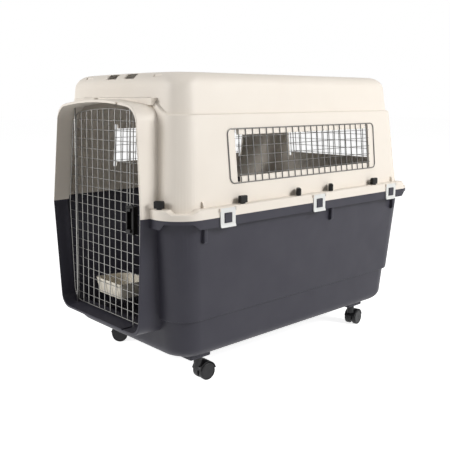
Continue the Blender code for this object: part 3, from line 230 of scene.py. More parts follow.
@dataclass(frozen=True)
class PlatedSteel(Finish):
    """Drawn or pressed steel with a bright plating: fine draw lines and slightly uneven gloss."""

    line_mm: float = 0.8
    line_depth_mm: float = 0.02
    line_strength: float = 0.2
    patch_mm: float = 14.0
    gloss_shift: tuple[float, float] = (-0.06, 0.08)

    def paint(self, tree: bpy.types.NodeTree, shader: bpy.types.Node, place: bpy.types.NodeSocket) -> None:
        """Add patches of plating and the lines that drawing leaves."""
        patch = add_node(tree, "TexNoise", {"Vector": place, "Scale": per_metre(self.patch_mm),
                                            "Detail": 4.0}).outputs["Fac"]
        self.vary(tree, shader, patch, self.gloss_shift)
        lines = add_node(tree, "TexNoise", {"Vector": place, "Scale": per_metre(self.line_mm)}).outputs["Fac"]
        bump = add_node(tree, "Bump", {"Height": lines, "Strength": self.line_strength,
                                       "Distance": self.line_depth_mm * MILLIMETRE}).outputs["Normal"]
        tree.links.new(bump, shader.inputs["Normal"])
        shader.inputs["Metallic"].default_value = 1.0


# Polypropylene, moulded with a fine grain: warm light beige that scatters light evenly.
BEIGE_SHELL = MouldedPlastic("moulded_polypropylene_beige", "EEE6DB", "EAE1D5", 0.52, "beige_polypropylene")
# Polypropylene, moulded with a fine grain: dark blue-grey with a soft, broad highlight.
SLATE_SHELL = MouldedPlastic("moulded_polypropylene_slate", "37363F", "32313A", 0.5, "slate_polypropylene",
                             specular=0.3)
# Nylon, moulded smooth: the hinged clips are nearly white with a satin gloss.
WHITE_CLIP = MouldedPlastic("moulded_nylon_white", "E4E4E1", "DCDDDA", 0.38, "white_nylon",
                            grain_depth_mm=0.02, edge_mm=0.6)
# Nylon, moulded smooth: black wing nuts and latch.
BLACK_FITTING = MouldedPlastic("moulded_nylon_black", "0E0C0C", "0A0908", 0.45, "black_nylon",
                               grain_depth_mm=0.02, mottle_mm=30.0, edge_mm=0.6, specular=0.25)
# Nylon, moulded: caster hoods and wheels, slightly scuffed and so less glossy.
CASTER_NYLON = MouldedPlastic("moulded_nylon_caster", "19191B", "131315", 0.42, "caster_nylon",
                              grain_depth_mm=0.03, mottle_mm=18.0, edge_mm=0.6, specular=0.35)
# Polypropylene, moulded smooth: the dish is cream and a little glossier than the shell.
CREAM_DISH = MouldedPlastic("moulded_polypropylene_cream", "E8E1D2", "E2DACA", 0.4, "cream_polypropylene",
                            grain_depth_mm=0.02, edge_mm=1.0)
# Steel wire, drawn, welded and nickel plated: the window grilles, fairly grey with darker patches. Its tone
# is painted darker than the door's wire of the same plating, which is painted shade.
NICKEL_WIRE_PAINTED_DARKER = PlatedSteel("nickel_wire_painted_darker", "7C7B79", "686765", 0.34, "nickel_plated_wire")
# Steel wire and rod, drawn and nickel plated: the door's mesh and rods. Their tone is painted lighter than
# the grilles' wire of the same plating, which is a painted highlight.
NICKEL_STEEL_PAINTED_LIGHTER = PlatedSteel("nickel_plated_steel_rod", "A3A29F", "8A8986", 0.3, "nickel_plated_wire")
# Steel, cold headed and zinc plated: bluer and duller than the door's steel.
ZINC_STEEL = PlatedSteel("zinc_plated_steel", "9A9B9E", "808184", 0.36, "zinc_plated_steel")


# Modelling bench


def clear_selection() -> None:
    """Leave edit mode and select nothing."""
    active = bpy.context.view_layer.objects.active
    if active is not None and active.mode != "OBJECT":
        bpy.ops.object.mode_set(mode="OBJECT")
    bpy.ops.object.select_all(action="DESELECT")


def activate(thing: bpy.types.Object) -> None:
    """Make an object the only selected one and the active one, in object mode."""
    clear_selection()
    thing.select_set(True)
    bpy.context.view_layer.objects.active = thing


def add_object(name: str, data: bpy.types.ID) -> bpy.types.Object:
    """Put a new object with its data into the scene."""
    thing = bpy.data.objects.new(name, data)
    bpy.context.scene.collection.objects.link(thing)
    return thing


def convert_runs(curve: bpy.types.Curve, runs: Sequence[tuple[Sequence[Vector], bool]]) -> None:
    """Draw straight-sided runs on a curve and convert it to a mesh, which stays active.

    Args:
        curve: The curve, with its thickness already set.
        runs: Each run's points, and whether it closes on itself.
    """
    curve.dimensions = "3D"
    for points, closed in runs:
        spline = curve.splines.new("POLY")
        spline.points.add(len(points) - 1)
        for slot, point in zip(spline.points, points):
            slot.co = (*point, 1.0)
        spline.use_cyclic_u = closed
    activate(add_object(curve.name, curve))
    bpy.ops.object.convert(target="MESH")


class Workpiece:
    """One mesh on the bench, shaped with Blender's own operators in edit mode."""

    def __init__(self, name: str) -> None:
        """Take the newly added primitive and put its place into its mesh.

        Args:
            name: The piece's name.
        """
        self.thing: bpy.types.Object = bpy.context.view_layer.objects.active
        self.thing.name = name
        self.thing.data.name = name
        bpy.ops.object.transform_apply(location=True, rotation=True, scale=True)

    @classmethod
    def sheet(cls, name: str, centre: Point, size: tuple[float, float],
              turn: Point = ORIGIN) -> "Workpiece":
        """Start from a flat rectangle.

        Args:
            name: The piece's name.
            centre: Its middle.
            size: Its two sides before it is turned, along X and Y.
            turn: Its turn as Euler angles.

        Returns:
            The new piece.
        """
        clear_selection()
        bpy.ops.mesh.primitive_plane_add(size=1.0, location=centre, rotation=turn)
        bpy.context.object.scale = (size[0], size[1], 1.0)
        return cls(name)

    @classmethod
    def block(cls, name: str, low: Point, high: Point) -> "Workpiece":
        """Start from a block between two corners.

        Args:
            name: The piece's name.
            low: Its lowest corner.
            high: Its highest corner.

        Returns:
            The new piece.
        """
        clear_selection()
        middle = (Vector(low) + Vector(high)) / 2
        bpy.ops.mesh.primitive_cube_add(size=1.0, location=middle)
        bpy.context.object.scale = Vector(high) - Vector(low)
        return cls(name)

    @classmethod
    def rod(cls, name: str, start: Point | Vector, end: Point | Vector, radius: float,
            sides: int = 24) -> "Workpiece":
        """Start from a round bar between two points.

        Args:
            name: The piece's name.
            start: The middle of one end.
            end: The middle of the other end.
            radius: The bar's radius.
            sides: Faces round it.

        Returns:
            The new piece.
        """
        clear_selection()
        along = Vector(end) - Vector(start)
        turn = Vector((0.0, 0.0, 1.0)).rotation_difference(along)
        bpy.ops.mesh.primitive_cylinder_add(vertices=sides, radius=radius, depth=along.length,
                                            location=(Vector(start) + Vector(end)) / 2,
                                            rotation=turn.to_euler())
        return cls(name)

    @classmethod
    def plate(cls, name: str, points: Sequence[Vector]) -> "Workpiece":
        """Start from a filled flat outline.

        Args:
            name: The piece's name.
            points: The outline's points in order.

        Returns:
            The new piece.
        """
        convert_runs(bpy.data.curves.new(name, "CURVE"), [(points, True)])
        piece = cls(name)
        piece.pick(Pick.EDGES, lambda p, n: True)
        bpy.ops.mesh.edge_face_add()
        return piece

    def _edit(self) -> None:
        """Go into edit mode on this piece."""
        if self.thing.mode != "EDIT":
            activate(self.thing)
            bpy.ops.object.mode_set(mode="EDIT")

    def _rest(self) -> None:
        """Go back to object mode with only this piece selected."""
        activate(self.thing)

    def pick(self, kind: Pick, test: Test) -> "Workpiece":
        """Select by place and direction.

        Args:
            kind: Vertices, edges or faces.
            test: Says yes to what is selected. It gets the middle, and a face's or vertex's
                normal or an edge's direction.

        Returns:
            This piece.
        """
        self._edit()
        bpy.ops.mesh.select_mode(type=kind.value)
        bpy.ops.mesh.select_all(action="DESELECT")
        mesh = bmesh.from_edit_mesh(self.thing.data)
        if kind is Pick.VERTS:
            for vert in mesh.verts:
                vert.select_set(test(vert.co, vert.normal))
        elif kind is Pick.EDGES:
            for edge in mesh.edges:
                start, end = (v.co for v in edge.verts)
                edge.select_set(test((start + end) / 2, (end - start).normalized()))
        else:
            for face in mesh.faces:
                face.select_set(test(face.calc_center_median(), face.normal))
        mesh.select_flush_mode()
        bmesh.update_edit_mesh(self.thing.data)
        return self

    def pick_all(self) -> "Workpiece":
        """Select the whole piece."""
        self._edit()
        bpy.ops.mesh.select_mode(type="FACE")
        bpy.ops.mesh.select_all(action="SELECT")
        return self

    def extrude(self, way: Point) -> "Workpiece":
        """Extrude the selected faces along a vector."""
        bpy.ops.mesh.extrude_region_move(TRANSFORM_OT_translate={"value": way})
        return self

    def resize(self, share: Point, centre: Point) -> "Workpiece":
        """Scale what is selected about a point."""
        bpy.ops.transform.resize(value=share, center_override=centre)
        return self

    def move(self, way: Point) -> "Workpiece":
        """Move what is selected."""
        bpy.ops.transform.translate(value=way)
        return self

    def inset(self, width: float) -> "Workpiece":
        """Inset the selected faces."""
        bpy.ops.mesh.inset(thickness=width)
        return self

    def bevel(self, width: float, segments: int, corners: bool = False) -> "Workpiece":
        """Round the selected edges, or the selected corners of a flat sheet.

        Args:
            width: How far the rounding reaches along what meets there.
            segments: Steps in the rounding.
            corners: Whether the selection is corners in place of edges.

        Returns:
            This piece.
        """
        bpy.ops.mesh.bevel(offset=width, segments=segments, offset_type="ABSOLUTE" if corners else "OFFSET",
                           affect="VERTICES" if corners else "EDGES", profile=0.5)
        return self

    def subdivide(self, cuts: int) -> "Workpiece":
        """Cut the selected edges into equal parts."""
        bpy.ops.mesh.subdivide(number_cuts=cuts)
        return self

    def lift(self, rise: Callable[[Vector], Vector]) -> "Workpiece":
        """Sculpt the piece: move each vertex by what a function of its place says."""
        self._rest()
        for vert in self.thing.data.vertices:
            vert.co += rise(vert.co)
        return self

    def reshape(self, chosen: Callable[[Vector], bool], height: Callable[[Vector], float]) -> "Workpiece":
        """Sculpt the piece: give the chosen vertices a height that follows their place."""
        self._rest()
        for vert in self.thing.data.vertices:
            if chosen(vert.co):
                vert.co.z = height(vert.co)
        return self

    def slice(self, point: Point, normal: Point) -> "Workpiece":
        """Cut a line round the whole piece, where a plane crosses it."""
        self.pick_all()
        bpy.ops.mesh.bisect(plane_co=point, plane_no=normal)
        return self

    def spin(self, angle: float, centre: Point, axis: Point, steps: int) -> "Workpiece":
        """Sweep the selected faces round an axis."""
        bpy.ops.mesh.spin(steps=steps, angle=angle, center=centre, axis=axis)
        return self

    def place(self, where: Matrix) -> "Workpiece":
        """Put the finished shape where it belongs, in its mesh."""
        self._rest()
        self.thing.data.transform(where)
        self.thing.data.update()
        return self

    def discard(self) -> None:
        """Clear a pattern away once it has been copied."""
        clear_selection()
        bpy.data.objects.remove(self.thing, do_unlink=True)

    def combine(self, other: "Workpiece", how: Join) -> "Workpiece":
        """Join or cut this piece with another, which is used up."""
        for piece in (self, other):
            piece.pick_all()
            bpy.ops.mesh.quads_convert_to_tris(quad_method="BEAUTY", ngon_method="BEAUTY")
        self._rest()
        modifier = self.thing.modifiers.new(other.thing.name, "BOOLEAN")
        modifier.operation = how.value
        modifier.solver = "EXACT"
        modifier.object = other.thing
        bpy.ops.object.modifier_apply(modifier=modifier.name)
        bpy.data.objects.remove(other.thing, do_unlink=True)
        return self

    def absorb(self, others: Iterable["Workpiece"]) -> "Workpiece":
        """Take other pieces into this mesh without cutting either."""
        self._rest()
        for other in others:
            other.thing.select_set(True)
        bpy.ops.object.join()
        return self

    def copy(self, name: str, place: Matrix | None = None) -> "Workpiece":
        """Copy the piece with a mesh of its own.

        Args:
            name: The copy's name.
            place: Where the copy goes from here.

        Returns:
            The copy.
        """
        self._rest()
        twin = self.thing.copy()
        twin.data = self.thing.data.copy()
        bpy.context.scene.collection.objects.link(twin)
        if place is not None:
            twin.data.transform(place)
            if place.determinant() < 0:
                twin.data.flip_normals()
        activate(twin)
        return Workpiece(name)

    def repair(self) -> "Workpiece":
        """Merge doubled vertices and turn the faces outwards."""
        self.pick_all()
        bpy.ops.mesh.remove_doubles(threshold=0.01 * MILLIMETRE)
        bpy.ops.mesh.normals_make_consistent(inside=False)
        return self

    def smooth(self, angle: float = 32.0, weighted: bool = False) -> "Workpiece":
        """Shade smooth below an angle between faces.

        Args:
            angle: The largest angle, in degrees, that is shaded smooth.
            weighted: Whether large faces set the shading next to them, as on a moulded shell.

        Returns:
            This piece.
        """
        self._rest()
        bpy.ops.object.shade_smooth_by_angle(angle=math.radians(angle))
        if weighted:
            modifier = self.thing.modifiers.new("even_shading", "WEIGHTED_NORMAL")
            modifier.keep_sharp = True
            bpy.ops.object.modifier_apply(modifier=modifier.name)
        return self

    def dress(self, finish: Finish, body: str, *stands_for: str) -> bpy.types.Object:
        """Give the piece its finish and let it ride on a CAD body.

        Args:
            finish: What it is made of.
            body: The CAD body that it moves with.
            stands_for: CAD nodes that it replaces.

        Returns:
            The finished object.
        """
        self._rest()
        self.thing.data.materials.clear()
        self.thing.data.materials.append(finish.material())
        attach(self.thing, body)
        if stands_for:
            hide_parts(*stands_for)
        LOG.info("%s: %d faces on body %s", self.thing.name, len(self.thing.data.polygons), body)
        return self.thing


@dataclass(frozen=True)
class Bend:
    """A corner of a bent wire or outline, with its radius."""

    place: Point
    radius: float = 0.0


def bent_path(bends: Sequence[Bend], steps: int = 6, closed: bool = False) -> list[Vector]:
    """Follow a line of corners and round each one.

    Args:
        bends: The corners in order.
        steps: Chords in each rounding.
        closed: Whether the last corner leads back to the first.

    Returns:
        The points along the line.
    """
    points: list[Vector] = []
    count = len(bends)
    for i, bend in enumerate(bends):
        here = Vector(bend.place)
        if bend.radius <= 0.0 or (not closed and i in (0, count - 1)):
            points.append(here)
            continue
        back = (Vector(bends[i - 1].place) - here).normalized()
        ahead = (Vector(bends[(i + 1) % count].place) - here).normalized()
        half = back.angle(ahead) / 2
        centre = here + (back + ahead).normalized() * (bend.radius / math.sin(half))
        spoke = here + back * (bend.radius / math.tan(half)) - centre
        last = here + ahead * (bend.radius / math.tan(half)) - centre
        turn = spoke.rotation_difference(last)
        for k in range(steps + 1):
            points.append(centre + Quaternion().slerp(turn, k / steps) @ spoke)
    return points


def wire_work(name: str, runs: Sequence[tuple[Sequence[Vector], bool]], radius: float,
              sides: int = 10) -> Workpiece:
    """Make round wire along any number of runs.

    Args:
        name: The piece's name.
        runs: Each run's points, and whether it closes on itself.
        radius: The wire's radius.
        sides: Faces round the wire.

    Returns:
        The wires as one piece.
    """
    curve = bpy.data.curves.new(name, "CURVE")
    curve.bevel_depth = radius
    curve.bevel_resolution = (sides - 4) // 2
    curve.use_fill_caps = True
    convert_runs(curve, runs)
    return Workpiece(name)


# Shells


@dataclass(frozen=True)
class RimPlace:
    """A place on the rim: how far inside its edge, how thick the rim is there, and whether at the back."""

    depth: float
    thickness: float
    rear: bool


@dataclass(frozen=True)
class Rim:
    """The rim between the halves, thick along the sides and at the front bolts and thin elsewhere."""

    front: float = -0.580
    back: float = 0.610
    half_x: float = 0.387
    seam: float = 0.559
    upper_thick: float = 0.030
    upper_thin: float = 0.019
    lower_thick: float = 0.028
    lower_thin: float = 0.011
    rear_edge: float = 0.006
    chamfer: float = 0.0025
    rear_chamfer: float = 0.016
    corner_front: float = 0.100
    corner_back: float = 0.075
    corner_steps: int = 18
    bolt_turns: tuple[float, float] = (25.0, 33.0)
    lower_bolt_turns: tuple[float, float] = (13.0, 19.0)
    side_turns: tuple[float, float] = (72.0, 84.0)
    rear_turn: float = 14.0
    plate: float = 0.005
    skirt: float = 0.004
    root: float = 0.040
    root_step: float = 0.004
    fit: float = 0.0003
    overlap: float = 0.010
    under_lip: float = 0.006
    channel_depth: float = 0.060
    trim_z: tuple[float, float] = (0.3, 0.8)
    trim_y: float = 1.0

    @property
    def middle_y(self) -> float:
        """Half way between the front and rear edges."""
        return (self.front + self.back) / 2

    @property
    def half_y(self) -> float:
        """Half the rim's length."""
        return (self.back - self.front) / 2

    @property
    def middle(self) -> Point:
        """The middle of the plan, for scaling."""
        return 0.0, self.middle_y, 0.0

    def outline(self, name: str, inset: float, z: float, front: float, back: float, steps: int,
                cuts: int = 0) -> Workpiece:
        """Make the plan as a flat sheet with round corners.

        Args:
            name: The piece's name.
            inset: How far it lies inside the rim's edge.
            z: Its height.
            front: Radius of the front corners.
            back: Radius of the rear corners.
            steps: Chords in each corner.
            cuts: Cuts across the straight front edge.

        Returns:
            The sheet, with its face selected.
        """
        piece = Workpiece.sheet(name, (0.0, self.middle_y, z),
                                (2 * (self.half_x - inset), 2 * (self.half_y - inset)))
        piece.pick(Pick.VERTS, lambda p, n: p.y < 0).bevel(front, steps, corners=True)
        rear = self.back - inset - MILLIMETRE
        piece.pick(Pick.VERTS, lambda p, n: p.y > rear).bevel(back, steps, corners=True)
        if cuts:
            line = self.front + inset + MILLIMETRE
            piece.pick(Pick.EDGES, lambda p, n: p.y < line and abs(p.x) < MILLIMETRE).subdivide(cuts)
        return piece.pick_all()

    def block(self, name: str, inset: float, low: float, rise: float) -> Workpiece:
        """Extrude the rim's own plan into a block.

        Args:
            name: The piece's name.
            inset: How far it lies inside the rim's edge.
            low: Height of the sheet that it starts from.
            rise: How far it is extruded, upwards or downwards.

        Returns:
            The closed block.
        """
        piece = self.outline(name, inset, low, self.corner_front - inset, self.corner_back - inset,
                             self.corner_steps)
        return piece.extrude((0.0, 0.0, rise)).repair()

    def locate(self, point: Vector, upper: bool = True) -> RimPlace:
        """Find a point's place on the rim.

        Args:
            point: Any point; its height doesn't count.
            upper: Whether the upper rim is meant.

        Returns:
            Its depth, the thickness from 0 to 1, and whether it is at the back.
        """
        rear = point.y > self.middle_y
        corner = self.corner_back if rear else self.corner_front
        along = point.y - (self.back - corner) if rear else self.front + corner - point.y
        if along <= 0.0:
            return RimPlace(self.half_x - abs(point.x), 1.0, rear)
        across = max(abs(point.x) - (self.half_x - corner), 0.0)
        turn = math.degrees(math.atan2(across, along))
        if rear:
            thickness = 1.0 - (90.0 - turn) / self.rear_turn
        else:
            start, end = self.bolt_turns if upper else self.lower_bolt_turns
            thickness = max((end - turn) / (end - start),
                            (turn - self.side_turns[0]) / (self.side_turns[1] - self.side_turns[0]))
        return RimPlace(corner - math.hypot(across, along), min(max(thickness, 0.0), 1.0), rear)

    def upper_top(self, point: Vector) -> float:
        """Height of the upper rim's top, with its sloping edge and the wedge at the back."""
        place = self.locate(point)
        depth = max(place.depth, 0.0)
        drop = max(self.chamfer - depth, 0.0)
        thin = self.upper_thin - drop
        if place.rear:
            thin = self.rear_edge + (self.upper_thin - self.rear_edge) * min(depth / self.rear_chamfer, 1.0)
        return self.seam + thin + (self.upper_thick - drop - thin) * place.thickness

    def upper_under(self, point: Vector) -> float:
        """Height of the underside of the upper rim's plate."""
        grown = (self.upper_thick - self.upper_thin) * self.locate(point).thickness
        return self.seam + self.upper_thin + grown - self.plate

    def lower_under(self, point: Vector) -> float:
        """Height of the lower rim's bottom edge."""
        grown = (self.lower_thick - self.lower_thin) * self.locate(point, upper=False).thickness
        return self.seam - self.lower_thin - grown

    def upper_flange(self) -> Workpiece:
        """Make the upper rim as a plate with a skirt: its height follows the place round the rim."""
        low = self.seam - self.overlap
        line = self.seam
        deep = self.root + self.root_step / 2
        middle = self.seam + self.upper_thin / 2
        flange = self.block("upper_rim", 0.0, low, self.upper_thick + self.overlap)
        flange.pick(Pick.FACES, lambda p, n: n.z > ALONG and p.z > line)
        for width in (self.chamfer, self.rear_chamfer - self.chamfer, self.root - self.rear_chamfer,
                      self.root_step):
            flange.inset(width)
        flange.reshape(lambda p: p.z > line, lambda p: middle + self.plate / 2
                       if self.locate(p).depth > deep else self.upper_top(p))
        channel = self.block("upper_channel", self.skirt, low - self.overlap, self.upper_thick + self.overlap)
        channel.pick(Pick.FACES, lambda p, n: n.z > ALONG)
        channel.inset(self.root - self.skirt).inset(self.root_step)
        channel.reshape(lambda p: p.z > low, lambda p: middle if self.locate(p).depth > deep
                        else self.upper_under(p))
        return flange.combine(channel, Join.CUT)

    def lower_flange(self) -> Workpiece:
        """Make the lower rim as a plate at the seam with a skirt below it."""
        line = self.seam - MILLIMETRE
        flange = self.block("lower_rim", 0.0, self.seam + self.overlap, -self.overlap - self.lower_thick)
        flange.pick(Pick.FACES, lambda p, n: n.z < -ALONG and p.z < line)
        flange.inset(self.under_lip).inset(self.skirt)
        flange.reshape(lambda p: p.z < line, self.lower_under)
        channel = self.block("lower_channel", self.skirt, self.seam - self.plate, -self.channel_depth)
        return flange.combine(channel, Join.CUT)

    def trim(self, upper: bool) -> Workpiece:
        """Make the block that trims one half flat at the seam."""
        reach = self.half_x + self.fit / 2
        low, high = self.trim_z
        if upper:
            high = self.seam + self.fit
        else:
            low = self.seam
        return Workpiece.block("seam_trim", (-reach, -self.trim_y, low), (reach, self.trim_y, high))


@dataclass(frozen=True)
class Level:
    """One level of a shell: its height and how far it lies inside the rim's edge."""

    z: float
    inset: float


def stack(name: str, rim: Rim, levels: Sequence[Level], corner: float, steps: int,
          cuts: int = 0) -> Workpiece:
    """Extrude a shell's plan through its levels, scaling it at each one.

    Args:
        name: The piece's name.
        rim: The rim that the insets are measured from.
        levels: The levels in order.
        corner: Radius of the upright corners at the first level.
        steps: Chords in each corner.
        cuts: Cuts across the straight front.

    Returns:
        The closed block.
    """
    piece = rim.outline(name, levels[0].inset, levels[0].z, corner, corner, steps, cuts)
    for last, level in zip(levels, levels[1:]):
        piece.extrude((0.0, 0.0, level.z - last.z))
        piece.resize(((rim.half_x - level.inset) / (rim.half_x - last.inset),
                      (rim.half_y - level.inset) / (rim.half_y - last.inset), 1.0), rim.middle)
    return piece.repair()


@dataclass(frozen=True)
class Snout:
    """The short tunnel round the door, as an outline that both halves share."""

    seam: float = Rim.seam
    lip_y: float = -0.610
    root_y: float = -0.490
    past_wall_y: float = -0.450
    lean: float = 0.045
    half_seam: float = 0.262
    half_bottom: float = 0.2335
    half_top: float = 0.229
    bottom_z: float = 0.189
    shoulder_z: float = 0.8832
    crown_z: float = 0.9146
    crown_radius: float = 1.24
    corner: float = 0.046
    top_corner: float = 0.056
    flare: float = 0.012
    lip_round: float = 0.003
    side_wall: float = 0.004
    end_wall: float = 0.008
    cut_lead: float = 0.020

    def growth(self, y: float) -> float:
        """How much wider each side is at a depth than at the lip."""
        return self.flare * (y - self.lip_y) / (self.root_y - self.lip_y)

    def bends(self, side: float, end: float) -> list[Bend]:
        """List the section's corners in the plane of X and Z, anticlockwise from the bottom left.

        Args:
            side: How far its sides lie outside the outline.
            end: How far its floor and top lie outside the outline.

        Returns:
            The corners with their radii.
        """
        bottom, seam, top = self.half_bottom + side, self.half_seam + side, self.half_top + side
        low, shoulder = self.bottom_z - end, self.shoulder_z + end
        return [Bend((-bottom, 0.0, low), self.corner), Bend((bottom, 0.0, low), self.corner),
                Bend((seam, 0.0, self.seam)), Bend((top, 0.0, shoulder), self.top_corner),
                Bend((0.0, 0.0, self.crown_z + end), self.crown_radius),
                Bend((-top, 0.0, shoulder), self.top_corner), Bend((-seam, 0.0, self.seam))]

    def section(self, y: float, side: float, end: float, steps: int = 10) -> list[Vector]:
        """Follow the section's outline at a depth."""
        return bent_path(self.bends(side + self.growth(y), end), steps, closed=True)

    def tunnel(self, name: str, upper: bool) -> Workpiece:
        """Make one half of the tunnel as a block with a rounded, leaning lip.

        Args:
            name: The piece's name.
            upper: Whether it is the half above the seam.

        Returns:
            The closed block.
        """
        cut = self.seam + (-Rim.overlap if upper else Rim.overlap)
        points = [p for p in self.section(self.lip_y, 0.0, 0.0)
                  if (p.z > cut) == upper and abs(p.z - cut) > MILLIMETRE]
        ends = [Vector((self.half_seam, 0.0, cut)), Vector((-self.half_seam, 0.0, cut))]
        points = [ends[0], *points, ends[1]] if upper else [*points[:-1], *ends, points[-1]]
        piece = Workpiece.plate(name, [p + Vector((0.0, self.lip_y, 0.0)) for p in points])
        piece.pick_all().extrude((0.0, self.root_y - self.lip_y, 0.0))
        piece.resize(((self.half_seam + self.flare) / self.half_seam, 1.0, 1.0), ORIGIN)
        front = self.lip_y + MILLIMETRE
        piece.pick(Pick.EDGES, lambda p, n: p.y < front and abs(p.z - cut) > SLACK)
        piece.bevel(self.lip_round, 3)
        back = self.lip_y + self.lip_round + MILLIMETRE
        piece.lift(lambda p: Vector((0.0, self.lean * max(p.z - self.seam, 0.0) if p.y < back else 0.0, 0.0)))
        return piece.repair()

    def inside(self, name: str) -> Workpiece:
        """Make the clear way through the tunnel, for cutting."""
        front = self.lip_y - self.cut_lead
        points = self.section(front, -self.side_wall, -self.end_wall)
        piece = Workpiece.plate(name, [p + Vector((0.0, front, 0.0)) for p in points])
        piece.pick_all().extrude((0.0, self.past_wall_y - front, 0.0))
        width = self.half_seam - self.side_wall
        wider = (width + self.growth(self.past_wall_y)) / (width + self.growth(front))
        piece.resize((wider, 1.0, 1.0), ORIGIN)
        return piece.repair()


@dataclass
class LowerShell:
    """Dark lower tub: tapered walls with a belt line near the floor, rim, ribs and pedestals."""

    rim: Rim
    snout: Snout
    sockets: Callable[[], list[Workpiece]]
    wall: float = 0.004
    corner: float = 0.075
    corner_steps: int = 12
    draft: float = 0.075
    seam_inset: float = 0.019
    ledge_z: float = 0.2385
    ledge: float = 0.0095
    belt_under: float = 0.004
    belt_lip: tuple[float, float] = (0.0022, 0.0012)
    belt_turn: tuple[float, float] = (0.0008, 0.0028)
    belt_top: tuple[float, float] = (0.0006, 0.0006)
    belt_over: float = 0.003
    floor_z: float = 0.107
    floor_round: float = 0.040
    rib_stations: tuple[float, ...] = (-0.459, 0.125, 0.497)
    rib_width: float = 0.013
    rib_foot: float = 0.485
    rib_face: float = 0.376
    rib_slope: float = 0.008
    rib_edge: float = 0.003
    catch_low: float = 0.5415
    catch_high: float = 0.5705
    catch_width: float = 0.029
    catch_proud: float = 0.0063
    catch_edge: float = 0.001
    catch_bevel_x: float = 0.005
    catch_foot_x: float = 0.002
    pedestal_x: float = 0.250
    pedestal_y: tuple[float, float] = (-0.405, 0.4013)
    pedestal_size: tuple[float, float] = (0.062, 0.084)
    pedestal_z: float = 0.088
    pedestal_corner: float = 0.006
    pedestal_edge: float = 0.0015

    def inset(self, z: float) -> float:
        """How far the outer wall lies inside the rim's edge at a height."""
        return self.seam_inset + self.draft * (self.rim.seam - z) + (self.ledge if z < self.ledge_z else 0.0)

    def levels(self, wall: float, top: float) -> list[Level]:
        """List the tub's levels from the floor up.

        Args:
            wall: How far inside the outer surface they lie.
            top: Height of the last one.

        Returns:
            The levels in order.
        """
        start = self.floor_z + self.floor_round
        radius = self.floor_round - wall
        steps = 8
        found = []
        for k in range(steps + 1):
            angle = math.pi / 2 * k / steps
            found.append(Level(start - radius * math.cos(angle),
                               self.inset(start) + wall + radius * (1 - math.sin(angle))))
        # The belt line's rounding: under the lip, out to its edge and up to the wall.
        ledge = self.ledge_z
        under, over = ledge - self.belt_under, ledge + self.belt_over
        foot, face = self.inset(under) + wall, self.inset(ledge) + wall
        found.append(Level(under, foot))
        found.append(Level(under + self.belt_lip[0], foot - self.belt_lip[1]))
        found.append(Level(ledge - self.belt_turn[0], face + self.belt_turn[1]))
        found.append(Level(ledge + self.belt_top[0], face + self.belt_top[1]))
        found.append(Level(over, self.inset(over) + wall))
        found.append(Level(top, self.inset(top) + wall))
        return found

    def build(self) -> None:
        """Build the lower shell in place of its CAD node."""
        rim = self.rim
        levels = self.levels(0.0, rim.seam + rim.overlap)
        shell = stack("lower_tub", rim, levels, self.corner, self.corner_steps)
        shell.combine(rim.lower_flange(), Join.UNION)
        shell.combine(self.snout.tunnel("lower_tunnel", upper=False), Join.UNION)
        shell.combine(self.mouldings(), Join.UNION)
        shell.combine(rim.trim(upper=False), Join.CUT)
        levels = self.levels(self.wall, rim.seam + 2 * rim.overlap)
        inside = stack("tub_inside", rim, levels, self.corner - self.wall, self.corner_steps)
        shell.combine(inside, Join.CUT)
        shell.combine(self.snout.inside("lower_doorway"), Join.CUT)
        for socket in self.sockets():
            shell.combine(socket, Join.CUT)
        shell.smooth(weighted=True)
        shell.dress(SLATE_SHELL, "crate", "lower_shell")

    def mouldings(self) -> Workpiece:
        """Make the caster pedestals, the bars under the rim and the catches for the side clips."""
        parts = []
        for side in Side:
            for y in self.pedestal_y:
                parts.append(self.pedestal(side.value * self.pedestal_x, y))
        bar, catch = self.bar(), self.catch()
        for side in Side:
            for y in self.rib_stations:
                parts.append(bar.copy("rim_bar", Matrix.Translation((0.0, y, 0.0)) @ side.flip))
            for y in CLIP_STATIONS:
                parts.append(catch.copy("catch", Matrix.Translation((0.0, y, 0.0)) @ side.flip))
        bar.discard()
        catch.discard()
        return parts[0].absorb(parts[1:])

    def pedestal(self, x: float, y: float) -> Workpiece:
        """Make the raised foot over one caster."""
        half_x, half_y = self.pedestal_size[0] / 2, self.pedestal_size[1] / 2
        foot = Workpiece.block("pedestal", (x - half_x, y - half_y, self.pedestal_z),
                               (x + half_x, y + half_y, self.floor_z + self.wall / 2))
        foot.pick(Pick.EDGES, lambda p, n: abs(n.z) > ALONG).bevel(self.pedestal_corner, 4)
        line = self.pedestal_z + SLACK
        return foot.pick(Pick.EDGES, lambda p, n: p.z < line).bevel(self.pedestal_edge, 2)

    def bar(self) -> Workpiece:
        """Make one upright bar under the rim, for the right side at the middle of the crate."""
        inner = self.rim.half_x - self.inset(self.rib_foot) - self.wall / 2
        bar = Workpiece.block("rim_bar", (inner, -self.rib_width / 2, self.rib_foot),
                              (self.rib_face, self.rib_width / 2, self.rim.seam - self.rim.plate / 2))
        line = self.rib_foot + MILLIMETRE
        face = self.rib_face - MILLIMETRE
        bar.pick(Pick.EDGES, lambda p, n: p.z < line and p.x > face).bevel(self.rib_slope, 5)
        return bar.pick(Pick.EDGES, lambda p, n: p.x > face and abs(n.z) > ALONG).bevel(self.rib_edge, 3)

    def catch(self) -> Workpiece:
        """Make one catch, which stands clear of the upper rim above the seam."""
        rim = self.rim
        half = self.catch_width / 2
        catch = Workpiece.block("catch", (rim.half_x + rim.fit, -half, self.catch_low),
                                (rim.half_x + self.catch_proud, half, self.catch_high))
        line = rim.half_x + self.catch_bevel_x
        catch.pick(Pick.EDGES, lambda p, n: p.x > line).bevel(self.catch_edge, 2)
        inner = half - MILLIMETRE
        back = rim.half_x - rim.skirt / 2
        foot = Workpiece.block("catch_foot", (back, -inner, self.catch_low + MILLIMETRE),
                               (rim.half_x + self.catch_foot_x, inner, rim.seam - rim.fit))
        return catch.combine(foot, Join.UNION)


